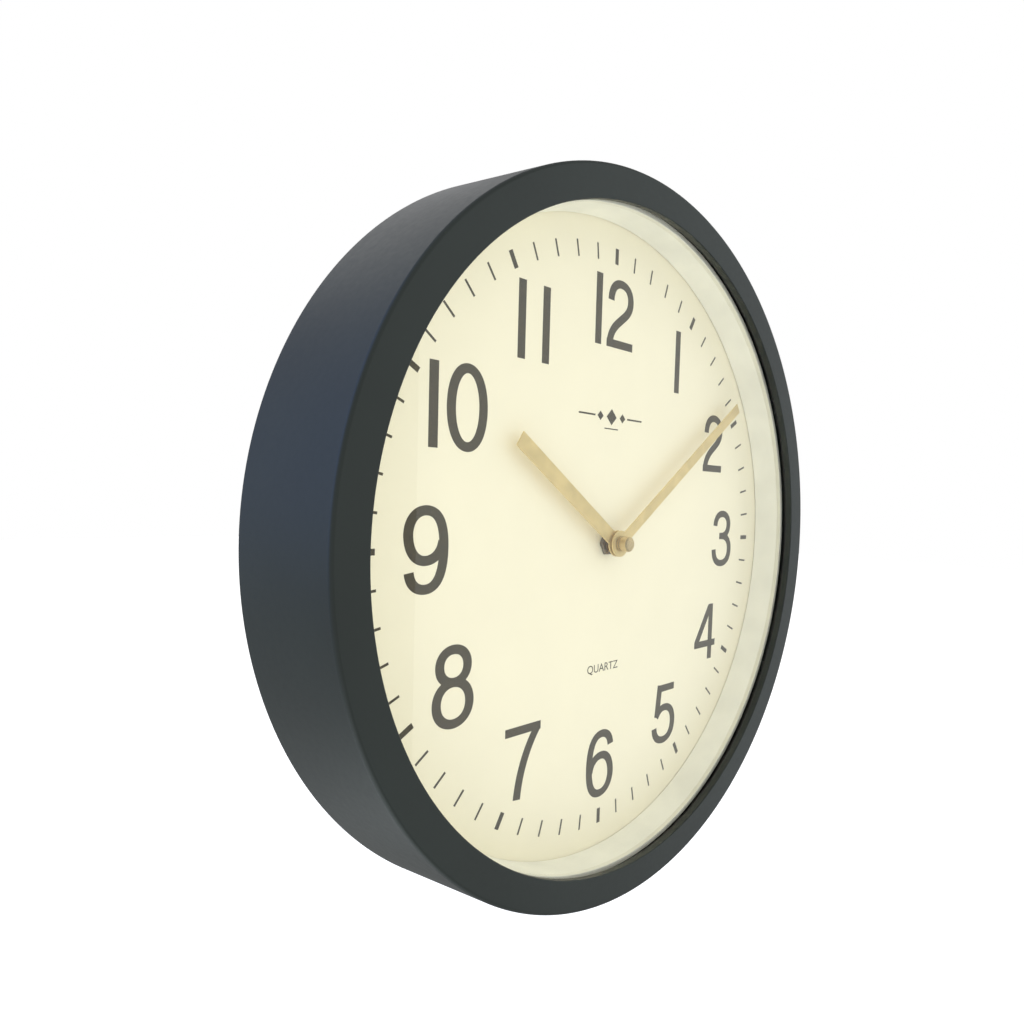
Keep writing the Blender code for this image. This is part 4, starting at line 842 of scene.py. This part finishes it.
@dataclass
class Dial(SubAssembly):
    """The printed card: disc, hour figures, minute track, ornament and the small word below."""

    hole: float = 4.2 * MM
    figure_circle: float = 100.4 * MM
    figure_height: float = 29.8 * MM
    pair_gap: float = 3.7 * MM
    wide_gap: float = 9.4 * MM
    upright_pen: float = 4.1 * MM
    level_pen: float = 3.5 * MM
    track_outer: float = 127.8 * MM
    track_inner: float = 121.1 * MM
    minute_mark: float = 0.95 * MM
    hour_mark: float = 2.2 * MM
    ornament_height: float = 55.4 * MM
    word_foot: float = -58.5 * MM
    word_width: float = 21.6 * MM
    word_height: float = 4.3 * MM
    ink: float = 0.035 * MM
    ink_gap: float = 0.008 * MM

    def build(self) -> None:
        """Makes the disc and prints on it."""
        low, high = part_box("dial")
        self.face = low.y - self.ink_gap
        section = slab(self.hole, high.x, low.y, high.y)
        disc = Turning(section, {0: 0.08 * MM, 1: 0.1 * MM}, steps=256).mesh()
        self.set_piece("dial_disc", disc, Card().dress(), Body.CASE, "dial_card", ("dial",))
        ink = Ink().dress()
        self.set_piece("hour_figures", self.figures(), ink, Body.CASE, "dial_card")
        self.set_piece("minute_track", self.track(), ink, Body.CASE, "dial_card")
        self.set_piece("dial_ornament", self.ornament(), ink, Body.CASE, "dial_card")
        self.set_piece("quartz_word", self.word(), ink, Body.CASE, "dial_card")

    def figures(self) -> BMesh:
        """Prints 1 to 12 upright, each centred on the figure circle.

        Returns:
            The mesh of all the figures.
        """
        bm = bmesh.new()
        for hour in range(1, 13):
            angle = math.radians(30 * hour)
            text = str(hour)
            gap = self.wide_gap if text == "11" else self.pair_gap
            widths = [FIGURES["6" if mark == "9" else mark].width * MM for mark in text]
            left = self.figure_circle * math.sin(angle) - (sum(widths) + gap * (len(text) - 1)) / 2
            foot = self.figure_circle * math.cos(angle) - self.figure_height / 2
            for mark, width in zip(text, widths):
                self.print_figure(bm, mark, left, foot)
                left += width + gap
        return bm

    def print_figure(self, bm: BMesh, mark: str, left: float, foot: float) -> None:
        """Prints one figure. A 9 is a 6 turned round.

        Args:
            bm: The mesh to print in.
            mark: The figure.
            left: Its left edge along X.
            foot: Its foot along Z.
        """
        figure = FIGURES["6" if mark == "9" else mark]
        for level, stroke in enumerate(figure.strokes):
            points = stroke.points(self.figure_height / FIGURE_UNITS)
            if mark == "9":
                points = [Vector((figure.width * MM - p.x, self.figure_height - p.y, 0.0)) for p in points]
            line = [Vector((left + p.x, self.face, foot + p.y)) for p in points]
            self.draw(bm, line, stroke.closed, level)

    def draw(self, bm: BMesh, line: list[Vector], closed: bool, level: int) -> None:
        """Draws a ribbon of ink along a line, wider where it runs upright.

        Args:
            bm: The mesh to draw in.
            line: Centre line on the dial.
            closed: Whether it joins its own start.
            level: Strokes that cross get different levels, so that their faces stay apart.
        """
        count = len(line)
        sides: tuple[list, list] = ([], [])
        for i, point in enumerate(line):
            before = line[(i - 1) % count] if closed or i > 0 else point
            after = line[(i + 1) % count] if closed or i < count - 1 else point
            along = (after - before).normalized()
            across = Vector((-along.z, 0.0, along.x))
            half = math.hypot(self.upright_pen * along.z, self.level_pen * along.x) / 2
            sides[0].append(bm.verts.new(point + across * half))
            sides[1].append(bm.verts.new(point - across * half))
        edges = []
        for verts in sides:
            ends = verts[1:] + verts[:1] if closed else verts[1:]
            edges += [bm.edges.new(pair) for pair in zip(verts, ends)]
        faces = bmesh.ops.bridge_loops(bm, edges=edges)["faces"]
        self.raise_ink(bm, faces, self.ink * (1 + 0.15 * level))

    def raise_ink(self, bm: BMesh, faces: list[bmesh.types.BMFace], height: float) -> None:
        """Gives flat ink its thickness.

        Args:
            bm: The mesh that holds it.
            faces: The flat faces.
            height: Thickness of the ink.
        """
        raised = bmesh.ops.extrude_face_region(bm, geom=faces, use_keep_orig=True)["geom"]
        verts = [item for item in raised if isinstance(item, bmesh.types.BMVert)]
        bmesh.ops.translate(bm, verts=verts, vec=(0.0, -height, 0.0))
        bmesh.ops.recalc_face_normals(bm, faces=bm.faces[:])

    def bar(self, bm: BMesh, place: Vector, size: Point, turn: float) -> None:
        """Prints one straight bar.

        Args:
            bm: The mesh to print in.
            place: Its centre as (x, z), in a vector with y unused.
            size: Its width and length.
            turn: Its bearing, clockwise from 12.
        """
        add_block(bm, (place.x, self.face - self.ink / 2, place.z), turn, (size[0], self.ink, size[1]))

    def track(self) -> BMesh:
        """Prints the sixty marks round the dial.

        Returns:
            Their mesh.
        """
        bm = bmesh.new()
        middle = (self.track_outer + self.track_inner) / 2
        length = self.track_outer - self.track_inner
        for minute in range(60):
            angle = math.radians(6 * minute)
            width = self.minute_mark if minute % 5 else self.hour_mark
            place = Vector((middle * math.sin(angle), 0.0, middle * math.cos(angle)))
            self.bar(bm, place, (width, length), angle)
        return bm

    def ornament(self) -> BMesh:
        """Prints a plain device above the hands: three lozenges between fine rules.

        Returns:
            Its mesh.
        """
        bm = bmesh.new()
        middle = self.ornament_height
        for x, side in ((0.0, 5.0), (-7.8, 2.9), (7.8, 2.9)):
            self.bar(bm, Vector((x * MM, 0.0, middle)), (side * MM, side * MM), math.radians(45))
        for x in (-16.8, 16.8):
            self.bar(bm, Vector((x * MM, 0.0, middle)), (11.0 * MM, 0.75 * MM), 0.0)
        self.bar(bm, Vector((0.0, 0.0, 50.2 * MM)), (9.6 * MM, 0.5 * MM), 0.0)
        return bm

    def word(self) -> BMesh:
        """Prints the kind of movement in small capitals.

        Returns:
            Its mesh.
        """
        text = bpy.data.curves.new("word", "FONT")
        text.body = "QUARTZ"
        text.size = 6.0 * MM
        text.align_x = "CENTER"
        text.extrude = self.ink / 2
        bm = curve_mesh(text)
        low = min(v.co.y for v in bm.verts)
        high = max(v.co.y for v in bm.verts)
        wide = max(v.co.x for v in bm.verts) - min(v.co.x for v in bm.verts)
        bmesh.ops.scale(bm, verts=bm.verts[:], vec=(self.word_width / wide, self.word_height / (high - low), 1.0))
        low = min(v.co.y for v in bm.verts)
        place = Matrix.Translation((-0.4 * MM, self.face - self.ink / 2, self.word_foot - low))
        bmesh.ops.transform(bm, verts=bm.verts[:], matrix=place @ Matrix.Rotation(math.pi / 2, 4, "X"))
        return bm


# ---- Hands and what holds them ----
@dataclass
class Hands(SubAssembly):
    """Two stamped baton hands with round eyes, the hour hand's collet and the turned cap nut."""

    eye: float = 5.8 * MM
    thickness: float = 0.6 * MM
    edge: float = 0.1 * MM
    hour_bearing: float = math.radians(303.8)
    hour_length: float = 74.4 * MM
    hour_width: float = 6.5 * MM
    hour_bore: float = 2.7 * MM
    collet_radius: float = 3.3 * MM
    minute_bearing: float = math.radians(54.9)
    minute_length: float = 121.5 * MM
    minute_width: float = 5.0 * MM
    minute_bore: float = 1.7 * MM
    gold: Colour = (0.83, 0.665, 0.32)

    def build(self) -> None:
        """Makes both hands and the cap nut."""
        self.build_hour()
        self.build_minute()
        self.build_cap()

    def finish(self, name: str, bearing: float) -> Material:
        """Champagne lacquer over brushing that runs along the hand."""
        return Metal(name, self.gold, 0.46, Grain.BRUSHED, metallic=0.55, turn=(0.0, -bearing, 0.0)).dress()

    def blade(self, length: float, width: float, bore: float, bearing: float, front: float) -> BMesh:
        """Stamps one hand.

        Args:
            length: From the axis to the tip.
            width: Of the blade.
            bore: Radius of the hole.
            bearing: Where it points, clockwise from 12.
            front: Its front face along Y.

        Returns:
            Its mesh, in place.
        """
        half = width / 2
        start = math.asin(half / self.eye)
        steps = 72
        arc = [start + (math.tau - 2 * start) * i / steps for i in range(steps + 1)]
        eye = [(self.eye * math.sin(a), self.eye * math.cos(a)) for a in arc]
        outline = [(-half, length), (half, length)] + eye
        bm = outline_mesh([outline, circle(bore, 48)], self.thickness, self.edge)
        lay = Matrix.Rotation(bearing, 4, "Y") @ Matrix.Rotation(math.pi / 2, 4, "X")
        place = Matrix.Translation((0.0, front + self.thickness / 2, 0.0))
        bmesh.ops.transform(bm, verts=bm.verts[:], matrix=place @ lay)
        return bm

    def build_hour(self) -> None:
        """Makes the hour hand and its collet."""
        low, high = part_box("hour_hand")
        blade = self.blade(self.hour_length, self.hour_width, self.hour_bore, self.hour_bearing, low.y)
        finish = self.finish("hour_gold", self.hour_bearing)
        self.set_piece("hour_baton", blade, finish, Body.HOUR, "gold_hands", ("hour_hand",))
        front = low.y + self.thickness - 0.05 * MM
        section = slab(self.hour_bore, self.collet_radius, front, high.y)
        collet = Turning(section, {2: 0.25 * MM}, steps=96).mesh()
        brass = Metal("collet_brass", (0.62, 0.46, 0.22), 0.3, Grain.TURNED).dress()
        self.set_piece("hour_collet", collet, brass, Body.HOUR, "gold_hands")

    def build_minute(self) -> None:
        """Makes the minute hand."""
        low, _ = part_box("minute_hand")
        blade = self.blade(self.minute_length, self.minute_width, self.minute_bore, self.minute_bearing, low.y)
        finish = self.finish("minute_gold", self.minute_bearing)
        self.set_piece("minute_baton", blade, finish, Body.MINUTE, "gold_hands", ("minute_hand",))

    def build_cap(self) -> None:
        """Turns the cap nut, with a bead round its foot."""
        low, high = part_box("cap_nut")
        outer = high.x
        neck = outer - 0.35 * MM
        foot = high.y
        bore = 1.35 * MM
        roof = low.y + 1.4 * MM
        section = [
            (0.0, low.y),
            (outer - 0.5 * MM, low.y),
            (outer, low.y + 0.5 * MM),
            (outer, foot - 1.6 * MM),
            (neck, foot - 1.3 * MM),
            (neck, foot - 1.0 * MM),
            (outer, foot - 0.7 * MM),
            (outer, foot),
            (bore, foot),
            (bore, roof),
            (0.0, roof),
        ]
        cap = Turning(section, {1: 0.2 * MM, 2: 0.2 * MM}, steps=96).mesh()
        brass = Metal("cap_brass", (0.76, 0.60, 0.33), 0.34, Grain.TURNED).dress()
        self.set_piece("turned_cap", cap, brass, Body.MINUTE, "brass", ("cap_nut",))


# ---- Back of the clock ----
@dataclass
class Back(SubAssembly):
    """Hardboard disc, its six screws, the washer and the hanger plate."""

    hole: float = 4.3 * MM
    cross: Colour = (3.125 * MM, 2.4 * MM, 0.62 * MM)
    screws: int = 6

    def build(self) -> None:
        """Makes the board and screws, and dresses the hanger and washer."""
        low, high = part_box("backing_board")
        section = slab(self.hole, high.x, low.y, high.y)
        board = Turning(section, {1: 0.25 * MM, 2: 0.25 * MM}, steps=256).mesh()
        self.set_piece("hardboard_back", board, Fibreboard().dress(), Body.CASE, "hardboard", ("backing_board",))
        steel = Metal("screw_zinc", (0.60, 0.60, 0.57), 0.3).dress()
        for index in range(1, self.screws + 1):
            self.build_screw(index, steel)
        self.dress_node("rubber_washer", Rubber("washer_rubber").dress())
        self.dress_node("hanger_plate", Metal("hanger_zinc", (0.58, 0.58, 0.55), 0.36, Grain.BRUSHED).dress())
        self.dress_node("dial_nut", Metal("nut_steel", (0.23, 0.20, 0.17), 0.30).dress())
        self.dress_node("threaded_bushing", Metal("bushing_brass", (0.60, 0.44, 0.20), 0.32, Grain.TURNED).dress())

    def build_screw(self, index: int, steel: Material) -> None:
        """Turns one pan-head screw and presses its cross.

        Args:
            index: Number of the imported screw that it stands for.
            steel: Its finish.
        """
        node = f"board_screw_{index}"
        low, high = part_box(node)
        centre = (low + high) / 2
        head = (high.x - low.x) / 2
        seat = high.y - 2.0 * MM
        shank = 1.3 * MM
        tip = low.y + 1.0 * MM
        section = [(0.0, high.y), (head, high.y), (head, seat), (shank, seat), (shank, tip), (0.8 * MM, low.y)]
        section.append((0.0, low.y))
        bm = Turning(section, {1: 0.9 * MM}, (centre.x, centre.z), 40).mesh()
        screw = linked("screw", settle("screw", bm))
        cross = bmesh.new()
        for turn in (0.25, 0.25 + math.pi / 2):
            add_block(cross, (centre.x, high.y, centre.z), turn + index, self.cross)
        punch = linked("punch", settle("punch", cross))
        cut = screw.modifiers.new("cross", "BOOLEAN")
        cut.operation = "DIFFERENCE"
        cut.object = punch
        cut.use_self = True
        graph = bpy.context.evaluated_depsgraph_get()
        mesh = bpy.data.meshes.new_from_object(screw.evaluated_get(graph))
        pressed = bmesh.new()
        pressed.from_mesh(mesh)
        for item in (screw, punch):
            bpy.data.objects.remove(item)
        self.set_piece(f"pan_screw_{index}", pressed, steel, Body.CASE, "zinc_steel", (node,))


# ---- Movement ----
@dataclass
class Movement(SubAssembly):
    """The quartz movement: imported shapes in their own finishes, with moulded marks on its cover."""

    mark_height: float = 0.25 * MM

    def build(self) -> None:
        """Dresses every piece of the movement."""
        black = Moulding("housing_black", (0.024, 0.024, 0.025), 0.46, 1700.0, 0.02 * MM).dress()
        white = Moulding("natural_acetal", (0.78, 0.78, 0.73), 0.36).dress()
        blue = Moulding("blue_acetal", (0.07, 0.19, 0.42), 0.36).dress()
        steel = Metal("contact_plate", (0.66, 0.65, 0.61), 0.27, Grain.BRUSHED).dress()
        laminate = Metal("lamination_steel", (0.40, 0.41, 0.42), 0.4, Grain.BRUSHED).dress()
        brass = Metal("wheel_brass", (0.66, 0.49, 0.21), 0.28, Grain.TURNED).dress()
        chip = Moulding("chip_epoxy", (0.018, 0.018, 0.02), 0.5, 3500.0, 0.008 * MM).dress()
        red = Moulding("knob_red", (0.42, 0.035, 0.03), 0.4, 2200.0, 0.008 * MM).dress()
        magnet = Metal("magnet_ferrite", (0.11, 0.11, 0.12), 0.5, Grain.STAMPED, metallic=0.6).dress()
        groups = (
            (black, "movement_housing", "movement_cover"),
            (white, "train_bridge", "hour_wheel", "minute_wheel", "seconds_wheel", "third_wheel"),
            (blue, "intermediate_wheel", "coil_bobbin"),
            (Winding().dress(), "coil_winding"),
            (laminate, "coil_core", "stator"),
            (SolderMask().dress(), "circuit_board"),
            (chip, "timing_chip"),
            (steel, "quartz_crystal", "positive_contact", "negative_spring"),
            (brass, "cannon_pinion", "centre_wheel"),
            (magnet, "rotor"),
            (red, "setting_knob"),
        )
        for finish, *nodes in groups:
            for node in nodes:
                self.dress_node(node, finish)
        self.build_marks(black)
        self.build_battery()

    def build_marks(self, finish: Material) -> None:
        """Raises a setting arrow round the knob and polarity signs by the battery.

        Args:
            finish: The cover's finish.
        """
        low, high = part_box("movement_cover")
        knob_low, knob_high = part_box("setting_knob")
        knob = (knob_low + knob_high) / 2
        back = high.y + self.mark_height / 2 - 0.02 * MM
        bm = bmesh.new()
        radius = 8.1 * MM
        for index in range(14):
            angle = math.radians(20 + 10 * index)
            place = (knob.x + radius * math.cos(angle), back, knob.z + radius * math.sin(angle))
            add_block(bm, place, -angle, (0.7 * MM, self.mark_height, 1.5 * MM))
        foot = low.z + 2.7 * MM
        for x, arms in ((high.x - 5.0 * MM, 2), (low.x + 3.0 * MM, 1)):
            for arm in range(arms):
                add_block(bm, (x, back, foot), arm * math.pi / 2, (2.4 * MM, self.mark_height, 0.5 * MM))
        self.set_piece("moulded_marks", bm, finish, Body.CASE, "black_plastic")

    def build_battery(self) -> None:
        """Turns the cell: steel can in a plain sleeve, with its raised positive end."""
        low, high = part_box("battery")
        nub = 1.3 * MM
        radius = (high.z - low.z) / 2
        centre_y = (low.y + high.y) / 2
        centre_z = (low.z + high.z) / 2
        end = high.x - nub
        inset = 0.35 * MM
        foot = low.x + 0.4 * MM
        button = 2.7 * MM
        wrap = [(0.0, low.x + inset), (radius, low.x + inset), (radius, end - inset), (0.0, end - inset)]
        base = [(0.0, low.x), (radius - 2.2 * MM, low.x), (radius - 1.5 * MM, low.x + 0.3 * MM)]
        base += [(radius - 0.8 * MM, foot), (0.0, foot)]
        top = [(0.0, end - 0.4 * MM), (radius - 0.9 * MM, end - 0.4 * MM), (radius - 1.1 * MM, end - 0.1 * MM)]
        top += [(button, end - 0.05 * MM), (button, high.x), (0.0, high.x)]
        parts = (
            ("battery_sleeve", wrap, {1: 0.5 * MM, 2: 0.5 * MM}),
            ("battery_ends", base, {}),
            ("battery_nub", top, {4: 0.4 * MM}),
        )
        sleeve = Moulding("battery_wrap", (0.030, 0.085, 0.235), 0.30, 2600.0, 0.0006 * MM).dress()
        steel = Metal("battery_steel", (0.70, 0.69, 0.66), 0.25, Grain.TURNED).dress()
        for name, section, rounds in parts:
            bm = Turning(section, rounds, steps=96).mesh()
            lay = Matrix.Translation((0.0, centre_y, centre_z)) @ Matrix.Rotation(-math.pi / 2, 4, "Z")
            bmesh.ops.transform(bm, verts=bm.verts[:], matrix=lay)
            wrapped = name == "battery_sleeve"
            stands_for = ("battery",) if wrapped else ()
            self.set_piece(name, bm, sleeve if wrapped else steel, Body.BATTERY, "battery_sleeve", stands_for)


# ---- Studio ----
@dataclass
class Studio:
    """Pale floor, soft lamps, white surround and the camera."""

    camera_place: Colour = (-0.2931, -0.2312, 0.0223)
    yaw: float = math.radians(57.11)
    pitch: float = math.radians(-4.07)
    roll: float = math.radians(2.33)
    lens: float = 29.37
    shift: Point = (-0.168, 0.042)
    floor_height: float = -0.42
    sky: float = 0.37
    sky_extra: float = 0.83

    def build(self) -> None:
        """Sets the camera, lamps, surround and floor."""
        self.set_camera()
        self.set_surround()
        self.set_lamp("window_box", (1.39, -0.71, 0.15), (-0.738, 0.674, 0.0), (1.48, 2.3), 5.5, (0.88, 0.94, 1.0))
        self.set_lamp("cool_fill", (-1.05, 0.5, 0.55), (0.9, -0.43, -0.42), (1.2, 1.5), 8.0, (0.20, 0.38, 1.0))
        self.set_lamp("low_fill", (-0.3, 0.02, -0.41), (0.25, 0.0, 1.0), (0.7, 0.4), 1.0, (0.9, 0.97, 1.0))
        self.set_lamp("back_fill", (0.4, 1.5, 0.9), (-0.2, -0.85, -0.5), (1.2, 1.2), 3.5, (1.0, 1.0, 1.0))
        self.set_floor()
        bpy.context.scene.view_settings.view_transform = "Standard"

    def set_camera(self) -> None:
        """Places the camera close to the left of the dial, turned a little about its own axis."""
        flat = math.cos(self.pitch)
        look = Vector((flat * math.sin(self.yaw), flat * math.cos(self.yaw), math.sin(self.pitch)))
        level = Vector((math.cos(self.yaw), -math.sin(self.yaw), 0.0))
        above = level.cross(look)
        right = math.cos(self.roll) * level + math.sin(self.roll) * above
        up = -math.sin(self.roll) * level + math.cos(self.roll) * above
        data = bpy.data.cameras.new("camera")
        data.lens = self.lens
        data.sensor_width = 36.0
        data.shift_x, data.shift_y = self.shift
        data.clip_start = 0.01
        camera = linked("camera", data)
        columns = Matrix((right, up, -look)).transposed().to_4x4()
        camera.matrix_world = Matrix.Translation(self.camera_place) @ columns
        bpy.context.scene.camera = camera

    def set_surround(self) -> None:
        """White behind the object, even light on it, and less of it in mirror reflections."""
        world = bpy.data.worlds.new("surround")
        world.use_nodes = True
        tree = world.node_tree
        background = tree.nodes["Background"]
        background.inputs["Color"].default_value = (1.0, 1.0, 1.0, 1.0)
        path = tree.nodes.new("ShaderNodeLightPath")
        diffuse = tree.nodes.new("ShaderNodeMath")
        diffuse.operation = "MULTIPLY_ADD"
        diffuse.inputs[1].default_value = self.sky_extra
        diffuse.inputs[2].default_value = self.sky
        strength = tree.nodes.new("ShaderNodeMath")
        strength.operation = "MAXIMUM"
        tree.links.new(path.outputs["Is Diffuse Ray"], diffuse.inputs[0])
        tree.links.new(diffuse.outputs["Value"], strength.inputs[0])
        tree.links.new(path.outputs["Is Camera Ray"], strength.inputs[1])
        tree.links.new(strength.outputs["Value"], background.inputs["Strength"])
        bpy.context.scene.world = world

    def set_lamp(self, name: str, place: Colour, aim: Colour, size: Point, power: float, colour: Colour) -> None:
        """Hangs one rectangular lamp.

        Args:
            name: Its name.
            place: Its centre.
            aim: The direction that it faces.
            size: Its width and height.
            power: In watts.
            colour: Of its light.
        """
        data = bpy.data.lights.new(name, "AREA")
        data.shape = "RECTANGLE"
        data.size, data.size_y = size
        data.energy = power
        data.color = colour
        lamp = linked(name, data)
        lamp.visible_camera = False
        turn = Vector(aim).to_track_quat("-Z", "Y")
        lamp.matrix_world = Matrix.Translation(place) @ turn.to_matrix().to_4x4()

    def set_floor(self) -> None:
        """Lays a wide pale floor well below the clock."""
        bm = bmesh.new()
        bmesh.ops.create_grid(bm, x_segments=1, y_segments=1, size=6.0)
        bmesh.ops.translate(bm, verts=bm.verts[:], vec=(0.0, 0.0, self.floor_height))
        mesh = settle("floor", bm)
        mix = Mixer("pale_floor", (0.93, 0.93, 0.93), 0.9)
        mix.set("Specular IOR Level", 0.1)
        mix.set("Emission Color", (1.0, 1.0, 1.0, 1.0))
        mix.set("Emission Strength", 0.14)
        mesh.materials.append(mix.material)
        floor = linked("floor", mesh)
        floor.visible_glossy = False


def main() -> None:
    """Builds the clock and its studio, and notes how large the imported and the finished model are."""
    logging.basicConfig(level=logging.INFO, format="%(name)s: %(message)s")
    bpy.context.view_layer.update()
    for part in (Case(), Glazing(), Dial(), Hands(), Back(), Movement()):
        part.build()
    Studio().build()


if __name__ == "__main__":
    main()
